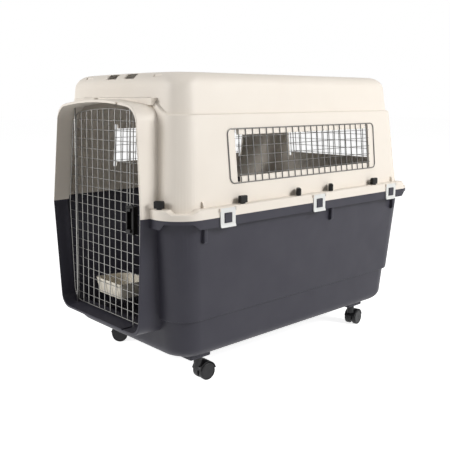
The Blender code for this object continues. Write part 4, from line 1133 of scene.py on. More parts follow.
@dataclass
class UpperShell:
    """Beige upper half: walls, a roof cap set in by a step, windows, rim and upper tunnel."""

    rim: Rim
    snout: Snout
    sockets: Callable[[], list[Workpiece]]
    pin_holes: Callable[[], Workpiece]
    wall: float = 0.004
    corner: float = 0.075
    corner_steps: int = 12
    front_cuts: int = 31
    draft: float = 0.102
    seam_inset: float = 0.0265
    step_z: float = 0.8575
    step: float = 0.0095
    step_under: float = 0.004
    step_round: tuple[tuple[float, float], ...] = ((-0.001, 0.0004), (0.0006, 0.0022), (0.0022, 0.0079))
    step_over: float = 0.0042
    step_rise: float = 0.050
    ramp_outer: float = 0.285
    ramp_inner: float = 0.185
    edge_z: float = 0.936
    roof_round: float = 0.045
    roof_wall: float = 0.005
    crown: float = 0.003
    crown_shares: tuple[float, ...] = (0.84, 0.8, 0.75, 0.68, 0.52, 0.2)
    crown_length: float = 0.985
    window_y: tuple[float, float] = (-0.309, 0.366)
    window_z: tuple[float, float] = (0.669, 0.795)
    window_corner: float = 0.010
    side_cut_x: float = 0.45
    rear_cut_y: tuple[float, float] = (0.45, 0.65)
    rear_half: float = 0.240
    notch_width: float = 0.016
    notch_depth: float = 0.017
    notch_corner: float = 0.004
    pad_x: tuple[float, float] = (0.0925, 0.2195)
    pad_y: tuple[float, float] = (-0.535, -0.510)
    pad_z: tuple[float, float] = (0.885, 0.907)
    pad_edge: float = 0.002
    grip_x: tuple[float, float] = (0.0215, 0.0800)
    grip_z: tuple[float, float] = (0.966, 0.9805)
    grip_back: float = -0.450
    grip_corner: float = 0.003
    groove_x: tuple[float, float] = (0.174, 0.212)
    groove_radius: float = 0.005
    groove_depth: float = 0.0040
    groove_angle: float = 50.0
    fin_stations: tuple[float, ...] = (-0.459, 0.497)
    fin_width: float = 0.005
    fin_reach: float = 0.009
    fin_height: float = 0.018
    fin_edge: float = 0.001
    ear_gap: float = 0.0303
    ear_width: float = 0.0035
    ear_z: tuple[float, float] = (0.5765, 0.5861)
    ear_reach: float = 0.0055
    ear_edge: float = 0.0015
    ear_bevel_x: float = 0.005

    def inset(self, z: float) -> float:
        """How far the outer wall lies inside the rim's edge, below the step."""
        return self.seam_inset + self.draft * (z - self.rim.seam)

    def outer_levels(self) -> list[Level]:
        """List the levels of the outer surface, from the seam to the roof's rounded edge."""
        step = self.step_z
        foot = self.inset(step)
        low = self.rim.seam - self.rim.overlap
        under = step - self.step_under
        found = [Level(low, self.inset(low)), Level(under, self.inset(under))]
        found += [Level(step + rise, foot + inset) for rise, inset in self.step_round]
        found += [Level(step + self.step_over, foot + self.step),
                  Level(self.edge_z, self.inset(self.edge_z) + self.step)]
        return found + self.roof_levels(found[-1].inset, self.roof_round)

    def inner_levels(self) -> list[Level]:
        """List the levels of the cavity."""
        low = self.rim.seam - 2 * self.rim.overlap
        found = [Level(low, self.inset(low) + self.wall),
                 Level(self.edge_z, self.inset(self.edge_z) + self.step + self.wall)]
        return found + self.roof_levels(found[-1].inset, self.roof_round - self.roof_wall)

    def roof_levels(self, inset: float, radius: float) -> list[Level]:
        """List the levels of the roof's rounded edge."""
        steps = 10
        angles = [math.pi / 2 * k / steps for k in range(1, steps + 1)]
        return [Level(self.edge_z + radius * math.sin(a), inset + radius * (1 - math.cos(a))) for a in angles]

    def crowned(self, piece: Workpiece, radius: float, half: float) -> Workpiece:
        """Close the roof towards its middle line and raise its crown.

        Args:
            piece: The stacked block, flat on top.
            radius: Radius of its rounded edge.
            half: Half the width that the crown spans.

        Returns:
            The piece.
        """
        flat = self.edge_z + radius - SLACK
        piece.pick(Pick.FACES, lambda p, n: p.z > flat and n.z > ALONG)
        for share in self.crown_shares:
            piece.extrude(ORIGIN)
            piece.resize((share, self.crown_length, 1.0), self.rim.middle)
        return piece.lift(lambda p: Vector((0.0, 0.0, self.crown * max(1 - (p.x / half) ** 2, 0.0)
                                            * min(max((p.z - self.edge_z) / radius, 0.0), 1.0))))

    def climb(self, place: Vector) -> Vector:
        """How far the step line rises over the doorway at a place on the front."""
        low = self.step_z - self.step_under - MILLIMETRE
        high = self.step_z + self.step_over + MILLIMETRE
        if not low < place.z < high or place.y > 0.0:
            return Vector(ORIGIN)
        part = (self.ramp_outer - abs(place.x)) / (self.ramp_outer - self.ramp_inner)
        part = min(max(part, 0.0), 1.0)
        return Vector((0.0, 0.0, self.step_rise * part * part * (3 - 2 * part)))

    def build(self) -> None:
        """Build the upper shell in place of its CAD node."""
        rim = self.rim
        shell = stack("upper_cover", rim, self.outer_levels(), self.corner, self.corner_steps,
                      self.front_cuts)
        shell.lift(self.climb)
        half = rim.half_x - self.inset(self.edge_z) - self.step
        self.crowned(shell, self.roof_round, half)
        shell.combine(rim.upper_flange(), Join.UNION)
        shell.combine(self.snout.tunnel("upper_tunnel", upper=True), Join.UNION)
        shell.combine(self.mouldings(), Join.UNION)
        shell.combine(rim.trim(upper=True), Join.CUT)
        inside = stack("cover_inside", rim, self.inner_levels(), self.corner - self.wall,
                       self.corner_steps)
        shell.combine(self.crowned(inside, self.roof_round - self.roof_wall, half - self.wall), Join.CUT)
        shell.combine(self.snout.inside("upper_doorway"), Join.CUT)
        for opening in [*self.windows(), *self.grips(), self.pin_holes(), *self.sockets()]:
            shell.combine(opening, Join.CUT)
        shell.smooth(weighted=True)
        shell.dress(BEIGE_SHELL, "crate", "upper_shell")

    def mouldings(self) -> Workpiece:
        """Make the pads over the doorway, the fins over the rim and the ears for the clips."""
        fin, ear, pad = self.fin(), self.ear(), self.pad()
        parts = []
        for side in Side:
            parts.append(pad.copy("front_pad", side.flip))
            for y in self.fin_stations:
                parts.append(fin.copy("rim_fin", Matrix.Translation((0.0, y, 0.0)) @ side.flip))
            for y in CLIP_STATIONS:
                for end in (-1, 1):
                    middle = y + end * (self.ear_gap + self.ear_width / 2)
                    parts.append(ear.copy("ear", Matrix.Translation((0.0, middle, 0.0)) @ side.flip))
        for pattern in (fin, ear, pad):
            pattern.discard()
        return parts[0].absorb(parts[1:])

    def pad(self) -> Workpiece:
        """Make the right pad over the doorway."""
        pad = Workpiece.block("front_pad", (self.pad_x[0], self.pad_y[0], self.pad_z[0]),
                              (self.pad_x[1], self.pad_y[1], self.pad_z[1]))
        line = self.pad_y[0] + MILLIMETRE
        return pad.pick(Pick.EDGES, lambda p, n: p.y < line).bevel(self.pad_edge, 3)

    def fin(self) -> Workpiece:
        """Make one thin fin over the rim, for the right side at the middle of the crate."""
        rim = self.rim
        top = rim.seam + rim.upper_thick
        wall = rim.half_x - self.inset(top + self.fin_height) - self.wall / 2
        foot = rim.half_x - self.inset(top) + self.fin_reach
        fin = Workpiece.block("rim_fin", (wall, -self.fin_width / 2, top - rim.plate / 2),
                              (foot, self.fin_width / 2, top + self.wall))
        fin.pick(Pick.FACES, lambda p, n: n.z > ALONG)
        fin.extrude((0.0, 0.0, self.fin_height - self.wall))
        fin.pick(Pick.VERTS, lambda p, n: p.z > top + 2 * self.wall and p.x > foot - MILLIMETRE)
        fin.move((wall + 2 * self.wall - foot, 0.0, 0.0))
        fin.pick(Pick.EDGES, lambda p, n: p.x > wall + MILLIMETRE and abs(n.y) < ACROSS)
        return fin.bevel(self.fin_edge, 2)

    def ear(self) -> Workpiece:
        """Make one ear that holds a clip's pin, for the right side at the middle of the crate."""
        rim = self.rim
        ear = Workpiece.block("ear", (rim.half_x - rim.skirt / 2, -self.ear_width / 2, self.ear_z[0]),
                              (rim.half_x + self.ear_reach, self.ear_width / 2, self.ear_z[1]))
        line = rim.half_x + self.ear_bevel_x
        return ear.pick(Pick.EDGES, lambda p, n: abs(n.y) > ALONG and p.x > line).bevel(self.ear_edge, 3)

    def windows(self) -> list[Workpiece]:
        """Make the cutters for the side windows and the rear one, with the notches at their ends."""
        front, back = self.window_y
        low, high = self.window_z
        below, above = low - self.notch_depth, high + self.notch_depth
        reach, (near, far) = self.side_cut_x, self.rear_cut_y
        side = Workpiece.block("side_windows", (-reach, front, low), (reach, back, high))
        side.pick(Pick.EDGES, lambda p, n: abs(n.x) > ALONG).bevel(self.window_corner, 5)
        rear = Workpiece.block("rear_window", (-self.rear_half, near, low), (self.rear_half, far, high))
        rear.pick(Pick.EDGES, lambda p, n: abs(n.y) > ALONG).bevel(self.window_corner, 5)
        cutters = [side, rear]
        for start in (front, back - self.notch_width):
            end = start + self.notch_width
            notch = Workpiece.block("side_notches", (-reach, start, below), (reach, end, above))
            cutters.append(notch.pick(Pick.EDGES, lambda p, n: abs(n.x) > ALONG).bevel(self.notch_corner, 3))
        for start in (-self.rear_half, self.rear_half - self.notch_width):
            end = start + self.notch_width
            notch = Workpiece.block("rear_notches", (start, near, below), (end, far, above))
            cutters.append(notch.pick(Pick.EDGES, lambda p, n: abs(n.y) > ALONG).bevel(self.notch_corner, 3))
        return cutters

    def grips(self) -> list[Workpiece]:
        """Make the cutters for the two hand holes and the shallow grooves beside them."""
        rim = self.rim
        centre = self.roof_round + self.groove_radius - self.groove_depth
        angle = math.radians(self.groove_angle)
        y = rim.front + self.inset(self.edge_z) + self.step + self.roof_round - centre * math.cos(angle)
        z = self.edge_z + (centre + self.crown) * math.sin(angle)
        cutters = []
        for side in Side:
            ends = sorted((side.value * self.grip_x[0], side.value * self.grip_x[1]))
            hole = Workpiece.block("hand_hole", (ends[0], rim.front, self.grip_z[0]),
                                   (ends[1], self.grip_back, self.grip_z[1]))
            cutters.append(hole.pick(Pick.EDGES, lambda p, n: abs(n.y) > ALONG).bevel(self.grip_corner, 3))
            cutters.append(Workpiece.rod("groove", (side.value * self.groove_x[0], y, z),
                                         (side.value * self.groove_x[1], y, z), self.groove_radius))
        return cutters


# Wire work


@dataclass
class WindowGrille:
    """Welded wire grille of one window: a closed frame with uprights outside and rows inside."""

    half_opening: float
    opening_height: float = 0.126
    slope: float = 0.102
    margin: float = 0.019
    end_margin: float = 0.031
    pitch: float = 0.0308
    rows: int = 5
    row_pitch: float = 0.0290
    corner: float = 0.017
    frame_wire: float = 0.00175
    wire: float = 0.0016
    row_wire: float = 0.0011

    @property
    def angle(self) -> float:
        """How far the wall leans back."""
        return math.atan(self.slope)

    @property
    def half_height(self) -> float:
        """Half the frame's height, measured up the wall."""
        return self.opening_height / 2 / math.cos(self.angle) + self.margin

    def build(self, name: str, place: Matrix) -> None:
        """Build the grille in place of its CAD node.

        Args:
            name: The CAD node's name.
            place: From the grille's own plane, X along and Z up, to the crate.
        """
        half_x = self.half_opening + self.end_margin
        high = self.half_height
        ring = bent_path([Bend((x, 0.0, z), self.corner) for x, z in
                          ((-half_x, -high), (half_x, -high), (half_x, high), (-half_x, high))], closed=True)
        outer = -(self.frame_wire - self.wire)
        uprights = int(2 * self.half_opening / self.pitch)
        row_end = self.half_opening - self.wire
        runs, rows = [], []
        for i in range(uprights + 1):
            x = self.pitch * (i - uprights / 2)
            runs.append(([Vector((x, outer, -high)), Vector((x, outer, high))], False))
        for j in range(self.rows):
            z = self.row_pitch * (j - (self.rows - 1) / 2)
            rows.append(([Vector((-row_end, self.row_wire, z)), Vector((row_end, self.row_wire, z))], False))
        grille = wire_work(name, [(ring, True)], self.frame_wire, 12)
        grille.absorb([wire_work("grille_uprights", runs, self.wire, 8),
                       wire_work("grille_rows", rows, self.row_wire, 8)])
        grille.place(place).smooth(60.0)
        grille.dress(NICKEL_WIRE_PAINTED_DARKER, "crate", name)


@dataclass
class Grilles:
    """The three window grilles, each lying on the outside of its wall."""

    rim: Rim
    shell: UpperShell

    def build(self) -> None:
        """Build all three grilles."""
        low, high = self.shell.window_z
        front, back = self.shell.window_y
        middle_z = (low + high) / 2
        side = WindowGrille((back - front) / 2)
        rear = WindowGrille(self.shell.rear_half)
        stand = (side.frame_wire + self.rim.fit) / math.cos(side.angle) - self.shell.inset(middle_z)
        lean = Matrix.Rotation(side.angle, 4, "X")
        for hand in Side:
            spot = Matrix.Translation((hand.value * (self.rim.half_x + stand), (front + back) / 2, middle_z))
            turn = Matrix.Rotation(-hand.value * math.pi / 2, 4, "Z")
            side.build(f"window_grille_{hand.word}", spot @ turn @ lean)
        rear.build("window_grille_rear", Matrix.Translation((0.0, self.rim.back + stand, middle_z)) @ lean)


def crossing(path: Sequence[Vector], axis: int, value: float) -> tuple[float, float]:
    """Find where a closed outline in the plane of X and Z is crossed.

    Args:
        path: The outline's points.
        axis: 0 for an upright line at an X, 2 for a level line at a Z.
        value: That X or Z.

    Returns:
        The lowest and the highest other coordinate.
    """
    other = 2 - axis
    found = []
    for a, b in zip(path, [*path[1:], path[0]]):
        if (a[axis] - value) * (b[axis] - value) <= 0.0 and abs(b[axis] - a[axis]) > 1e-9:
            found.append(a[other] + (b[other] - a[other]) * (value - a[axis]) / (b[axis] - a[axis]))
    return min(found), max(found)


@dataclass
class Door:
    """Wire door on its hinge rod, in a frame that leans back at the top, with its dish and latch."""

    snout: Snout
    hinge: Point = (-0.206, -0.553, 0.559)
    lean: float = 1.8
    frame_wire: float = 0.00175
    wire: float = 0.0017
    row_wire: float = 0.0012
    rod: float = 0.0028
    fit: float = 0.0003
    pitch: float = 0.034
    columns: int = 13
    row_pitch: float = 0.0316
    side_gap: float = 0.0065
    end_gap: float = 0.0090
    top_drop: float = 0.0110
    seat: float = 0.0035
    end_play: float = 0.0008
    latch_x: float = 0.139
    latch_rod: float = 0.0022
    rod_offset: float = 0.007
    latch_depth: float = 0.017
    keeper_swing: float = 0.0045
    keeper_reach: float = 0.050
    least_gap: float = 0.4
    rod_edge: float = 0.0006

    @property
    def place(self) -> Matrix:
        """From the door's own frame, on the hinge axis at the seam, to the crate."""
        return Matrix.Translation(self.hinge) @ Matrix.Rotation(-math.radians(self.lean), 4, "X")

    @property
    def mesh_y(self) -> float:
        """How far the mesh stands behind the hinge axis."""
        return self.rod + self.frame_wire + self.fit

    @property
    def latch_y(self) -> float:
        """How far the latch rods stand behind the hinge axis."""
        return self.rod - self.latch_depth / 2

    def outline(self, side: float, end: float) -> list[Vector]:
        """Follow the tunnel's inside where the door hangs, on the door's own frame.

        Args:
            side: How far inside its sides.
            end: How far inside its floor and top.

        Returns:
            The points.
        """
        points = self.snout.section(self.hinge[1], -self.snout.side_wall - side, -self.snout.end_wall - end)
        tilt = math.cos(math.radians(self.lean))
        return [Vector((p.x - self.hinge[0], self.mesh_y, (p.z - self.hinge[2]) / tilt)) for p in points]

    def tips(self, across: float) -> tuple[float, float]:
        """Where a rod at a place across the door ends in the floor and in the top of the tunnel."""
        low, high = crossing(self.outline(0.0, 0.0), 0, across)
        return low - self.seat, high + self.seat

    def sockets(self) -> list[Workpiece]:
        """Make the cutters for the hinge rod's sockets and the latch rods' keepers."""
        low, high = self.tips(0.0)
        socket = Workpiece.rod("hinge_socket", (0.0, 0.0, low - self.end_play),
                               (0.0, 0.0, high + self.end_play), self.rod + self.fit)
        cutters = [socket.place(self.place)]
        near = self.latch_rod + 2 * self.fit
        for offset in (-self.rod_offset, self.rod_offset):
            across = self.latch_x + offset - self.hinge[0]
            low, high = self.tips(across)
            ends = (0.0, high + self.end_play) if offset < 0 else (low - self.end_play, 0.0)
            left = across - near - self.keeper_swing
            keeper = Workpiece.block("keeper", (left, self.latch_y - self.keeper_reach, ends[0]),
                                     (across + near, self.latch_y + near, ends[1]))
            cutters.append(keeper.place(self.place))
        return cutters

    def build(self) -> None:
        """Build the mesh and the hinge rod in place of their CAD nodes."""
        drop = Vector((0.0, 0.0, self.top_drop))
        ring = [p - drop if p.z > 0.0 else p for p in self.outline(self.side_gap, self.end_gap)]
        bottom, top = crossing(ring, 0, -self.hinge[0])
        upright_y = self.mesh_y - (self.frame_wire - self.wire)
        row_y = self.mesh_y + self.row_wire
        runs, rows = [], []
        for i in range(self.columns):
            x = self.pitch * i
            low, high = crossing(ring, 0, x)
            runs.append(([Vector((x, upright_y, low)), Vector((x, upright_y, high))], False))
        for j in range(1, int((top - bottom) / self.row_pitch) + 1):
            z = bottom + self.row_pitch * j
            if z < top - self.least_gap * self.row_pitch:
                left, right = crossing(ring, 2, z)
                rows.append(([Vector((left, row_y, z)), Vector((right, row_y, z))], False))
        mesh = wire_work("door_wires", [(ring, True)], self.frame_wire, 12)
        mesh.absorb([wire_work("door_uprights", runs, self.wire, 8),
                     wire_work("door_rows", rows, self.row_wire, 8)])
        mesh.place(self.place).smooth(60.0)
        mesh.dress(NICKEL_STEEL_PAINTED_LIGHTER, "door", "door_mesh")
        low, high = self.tips(0.0)
        rod = Workpiece.rod("hinge_rod", (0.0, 0.0, low), (0.0, 0.0, high), self.rod, 20)
        rod.pick(Pick.EDGES, lambda p, n: abs(n.z) < ACROSS).bevel(self.rod_edge, 2)
        rod.place(self.place).smooth()
        rod.dress(NICKEL_STEEL_PAINTED_LIGHTER, "door", "door_hinge_rod")


@dataclass
class Latch:
    """Squeeze latch: a black housing on the wires and two rods with tabs that slide in it."""

    door: Door
    middle_z: float = 0.5365
    width: float = 0.042
    height: float = 0.088
    wall: float = 0.003
    corner: float = 0.005
    tab_width: float = 0.024
    tab_height: float = 0.010
    tab_proud: float = 0.006
    front_edge: float = 0.0018
    tab_edge: float = 0.0015
    cut_past: float = 0.020

    def build(self) -> None:
        """Build the housing and both rods in place of their CAD nodes."""
        door = self.door
        x = door.latch_x - door.hinge[0]
        z = self.middle_z - door.hinge[2]
        half_w, half_h = self.width / 2, self.height / 2
        back, front = door.rod, door.rod - door.latch_depth
        housing = Workpiece.block("latch_case", (x - half_w, front, z - half_h),
                                  (x + half_w, back, z + half_h))
        housing.pick(Pick.EDGES, lambda p, n: abs(n.y) > ALONG).bevel(self.corner, 4)
        line = front + SLACK
        housing.pick(Pick.EDGES, lambda p, n: p.y < line).bevel(self.front_edge, 3)
        slot = 2 * self.wall
        half_slot = self.tab_width / 2 + 2 * door.fit
        window = Workpiece.block("latch_window", (x - half_slot, front - self.cut_past, z - half_h + slot),
                                 (x + half_slot, back - self.wall, z + half_h - slot))
        housing.combine(window, Join.CUT)
        for offset in (-door.rod_offset, door.rod_offset):
            hole = Workpiece.rod("rod_hole", (x + offset, door.latch_y, z - half_h - self.cut_past),
                                 (x + offset, door.latch_y, z + half_h + self.cut_past),
                                 door.latch_rod + door.fit)
            housing.combine(hole, Join.CUT)
        housing.place(door.place).smooth()
        housing.dress(BLACK_FITTING, "door", "latch_housing")
        half_tab = self.tab_width / 2
        for end, sign in (("upper", 1), ("lower", -1)):
            across = x - sign * door.rod_offset
            edge = z + sign * (half_h - slot - door.fit)
            inner = edge - sign * self.tab_height
            tab = Workpiece.block(f"latch_{end}_tab",
                                  (x - half_tab, front - self.tab_proud, min(edge, inner)),
                                  (x + half_tab, back - self.wall - door.fit, max(edge, inner)))
            tab.pick(Pick.EDGES, lambda p, n: p.y < front).bevel(self.tab_edge, 3)
            low, high = door.tips(across)
            tip = high if sign > 0 else low
            rod = Workpiece.rod(f"latch_{end}_bar", (across, door.latch_y, (edge + inner) / 2),
                                (across, door.latch_y, tip), door.latch_rod, 16)
            tab.place(door.place).smooth().dress(BLACK_FITTING, f"latch_{end}")
            rod.place(door.place).smooth().dress(NICKEL_STEEL_PAINTED_LIGHTER, f"latch_{end}", f"latch_rod_{end}")


@dataclass
class Dish:
    """Open food dish with a straight front and a round back, hooked on the inside of the door."""

    door: Door
    left: float = -0.098
    right: float = 0.054
    top: float = 0.310
    height: float = 0.052
    depth: float = 0.125
    wall: float = 0.0025
    draft: float = 0.008
    front_corner: float = 0.012
    back_corner: float = 0.055
    floor_edge: float = 0.002

    def build(self) -> None:
        """Build the dish in place of its CAD node."""
        door = self.door
        front = door.mesh_y + door.frame_wire + door.fit
        width = self.right - self.left
        middle = Vector(((self.left + self.right) / 2 - door.hinge[0], front + self.depth / 2,
                         self.top - door.hinge[2]))
        dish = Workpiece.sheet("dish_cup", tuple(middle), (width, self.depth))
        dish.pick(Pick.VERTS, lambda p, n: p.y < middle.y).bevel(self.front_corner, 6, corners=True)
        dish.pick(Pick.VERTS, lambda p, n: p.y > front + self.depth - MILLIMETRE)
        dish.bevel(self.back_corner, 12, corners=True)
        taper = ((width - 2 * self.draft) / width, (self.depth - 2 * self.draft) / self.depth, 1.0)
        dish.pick_all().extrude((0.0, 0.0, -self.height)).resize(taper, tuple(middle)).repair()
        dish.pick(Pick.FACES, lambda p, n: n.z > ALONG and p.z > middle.z - MILLIMETRE).inset(self.wall)
        dish.extrude((0.0, 0.0, self.wall - self.height)).resize(taper, tuple(middle))
        low = middle.z - self.height + 2 * self.wall
        dish.pick(Pick.EDGES, lambda p, n: p.z < low and abs(n.z) < ACROSS).bevel(self.floor_edge, 3)
        dish.place(door.place).smooth()
        dish.dress(CREAM_DISH, "door", "food_dish")


# Fasteners on the rim


@dataclass
class SideClips:
    """White clips hinged on the upper rim, each with a square hole that snaps over a catch."""

    rim: Rim
    width: float = 0.060
    top_z: float = 0.5858
    bottom_z: float = 0.528
    thick: float = 0.0035
    kick: float = 0.004
    kick_height: float = 0.010
    kick_step: float = 0.6
    kick_curve: float = 1.5
    top_round: float = 0.98
    corner: float = 0.003
    hole_edge: float = 0.001
    hole_cut: float = 0.020
    hole_width: float = 0.031
    hole_z: tuple[float, float] = (0.5405, 0.5715)
    pin: float = 0.0015
    pin_length: float = 0.0028

    def axis(self, side: Side, y: float) -> Vector:
        """Place of one clip's hinge axis."""
        half = self.thick / 2
        return Vector((side.value * (self.rim.half_x + self.rim.fit + half), y, self.top_z - half))

    def pin_holes(self) -> Workpiece:
        """Make the cutter for the pins' holes in the ears."""
        reach = self.width / 2 + self.pin_length + 2 * self.rim.fit
        first = Workpiece.rod("pin_hole", (0.0, -reach, 0.0), (0.0, reach, 0.0), self.pin + self.rim.fit, 12)
        parts = [first.copy("pin_hole", Matrix.Translation(self.axis(side, y)))
                 for side in Side for y in CLIP_STATIONS]
        first.discard()
        return parts[0].absorb(parts[1:])

    def kick_at(self, height: float) -> float:
        """How far the clip's foot curls outwards at a height over its lower end."""
        return self.kick * max((self.kick_height - height) / self.kick_height, 0.0) ** self.kick_curve

    def pattern(self) -> Workpiece:
        """Make one right-hand clip with its hinge axis at the origin."""
        half, half_w = self.thick / 2, self.width / 2
        axis_z = self.top_z - half
        low = self.bottom_z - axis_z
        clip = Workpiece.block("clip_plate", (-half, -half_w, low), (half, half_w, half))
        clip.pick(Pick.EDGES, lambda p, n: abs(n.y) > ALONG and p.z > 0).bevel(half * self.top_round, 5)
        for share in (1.0, self.kick_step):
            clip.slice((0.0, 0.0, low + self.kick_height * share), (0.0, 0.0, 1.0))
        clip.lift(lambda p: Vector((self.kick_at(p.z - low), 0.0, 0.0)))
        clip.pick(Pick.EDGES, lambda p, n: abs(n.x) > ALONG and p.z < low + MILLIMETRE).bevel(self.corner, 3)
        hole = Workpiece.block("clip_hole", (-self.hole_cut, -self.hole_width / 2, self.hole_z[0] - axis_z),
                               (self.hole_cut, self.hole_width / 2, self.hole_z[1] - axis_z))
        hole.pick(Pick.EDGES, lambda p, n: abs(n.x) > ALONG).bevel(self.hole_edge, 2)
        clip.combine(hole, Join.CUT)
        reach = half_w + self.pin_length
        pin = Workpiece.rod("clip_pin", (0.0, -reach, 0.0), (0.0, reach, 0.0), self.pin, 12)
        return clip.combine(pin, Join.UNION).smooth()

    def build(self) -> None:
        """Build all six clips in place of their CAD nodes."""
        pattern = self.pattern()
        for side in Side:
            for i, y in enumerate(CLIP_STATIONS, start=1):
                name = f"clip_{side.word}_{i}"
                clip = pattern.copy(f"{name}_plate", Matrix.Translation(self.axis(side, y)) @ side.flip)
                clip.dress(WHITE_CLIP, name, f"side_{name}")
        pattern.discard()


@dataclass(frozen=True)
class BoltPlace:
    """One rim bolt: the end of its names, its place and its nut's turn in degrees."""

    name: str
    x: float
    y: float
    turn: float


@dataclass
class RimBolts:
    """Zinc-plated bolts up through both rims, each with a chunky black wing nut."""

    rim: Rim
    stations: tuple[float, ...] = (-0.311, -0.0566, 0.1103, 0.3631)
    turns: tuple[float, ...] = (90.0, 140.0, 136.0, 90.0)
    x: float = 0.3755
    front_x: float = 0.2945
    front_y: float = -0.5682
    front_turn: float = 30.0
    hub: float = 0.0080
    hub_taper: float = 0.8
    hub_height: float = 0.017
    span: float = 0.031
    wing_thick: float = 0.0140
    wing_low: float = 0.003
    height: float = 0.025
    corner: float = 0.004
    bolt: float = 0.003
    head: float = 0.0058
    head_height: float = 0.0045
    head_edge: float = 0.0006
    thread: float = 0.014

    def places(self) -> list[BoltPlace]:
        """List the ten bolts."""
        found = []
        for side in Side:
            for i, (y, turn) in enumerate(zip(self.stations, self.turns), start=1):
                found.append(BoltPlace(f"{side.word}_{i}", side.value * self.x, y, turn))
            found.append(BoltPlace(f"front_{side.word}", side.value * self.front_x, self.front_y,
                                   side.value * self.front_turn))
        return found

    def nut(self) -> Workpiece:
        """Make one wing nut on the origin: a rounded slab on a tapered hub."""
        half, deep = self.span / 2, self.wing_thick / 2
        slab = Workpiece.block("nut_wings", (-half, -deep, self.wing_low), (half, deep, self.height))
        slab.pick(Pick.EDGES, lambda p, n: abs(n.z) > ALONG).bevel(self.corner, 4)
        line = self.height - SLACK
        slab.pick(Pick.EDGES, lambda p, n: p.z > line).bevel(self.corner, 4)
        hub = Workpiece.rod("nut_hub", ORIGIN, (0.0, 0.0, self.hub_height), self.hub, 28)
        hub.pick(Pick.VERTS, lambda p, n: p.z > self.wing_low)
        hub.resize((self.hub_taper, self.hub_taper, 1.0), ORIGIN)
        return slab.combine(hub, Join.UNION).smooth()

    def screw(self) -> Workpiece:
        """Make one bolt with the top of its hexagonal head at the origin."""
        top = self.rim.plate + self.rim.upper_thick + 2 * self.rim.fit + self.thread
        head = Workpiece.rod("bolt_head", (0.0, 0.0, -self.head_height), ORIGIN, self.head, 6)
        line = -self.head_height + SLACK
        head.pick(Pick.EDGES, lambda p, n: p.z < line).bevel(self.head_edge, 2)
        shank = Workpiece.rod("bolt_shank", (0.0, 0.0, -self.head_height / 2), (0.0, 0.0, top), self.bolt, 16)
        return head.combine(shank, Join.UNION).smooth()

    def build(self) -> None:
        """Build every bolt and nut in place of its CAD nodes."""
        nut, screw = self.nut(), self.screw()
        top = self.rim.seam + self.rim.upper_thick + self.rim.fit
        under = self.rim.seam - self.rim.plate - self.rim.fit
        for spot in self.places():
            turn = Matrix.Rotation(math.radians(spot.turn), 4, "Z")
            wing = nut.copy(f"nut_{spot.name}", Matrix.Translation((spot.x, spot.y, top)) @ turn)
            wing.dress(BLACK_FITTING, f"wing_nut_{spot.name}", f"wing_nut_{spot.name}")
            bolt = screw.copy(f"bolt_{spot.name}", Matrix.Translation((spot.x, spot.y, under)))
            bolt.dress(ZINC_STEEL, "crate", f"rim_bolt_{spot.name}")
        nut.discard()
        screw.discard()


# Casters


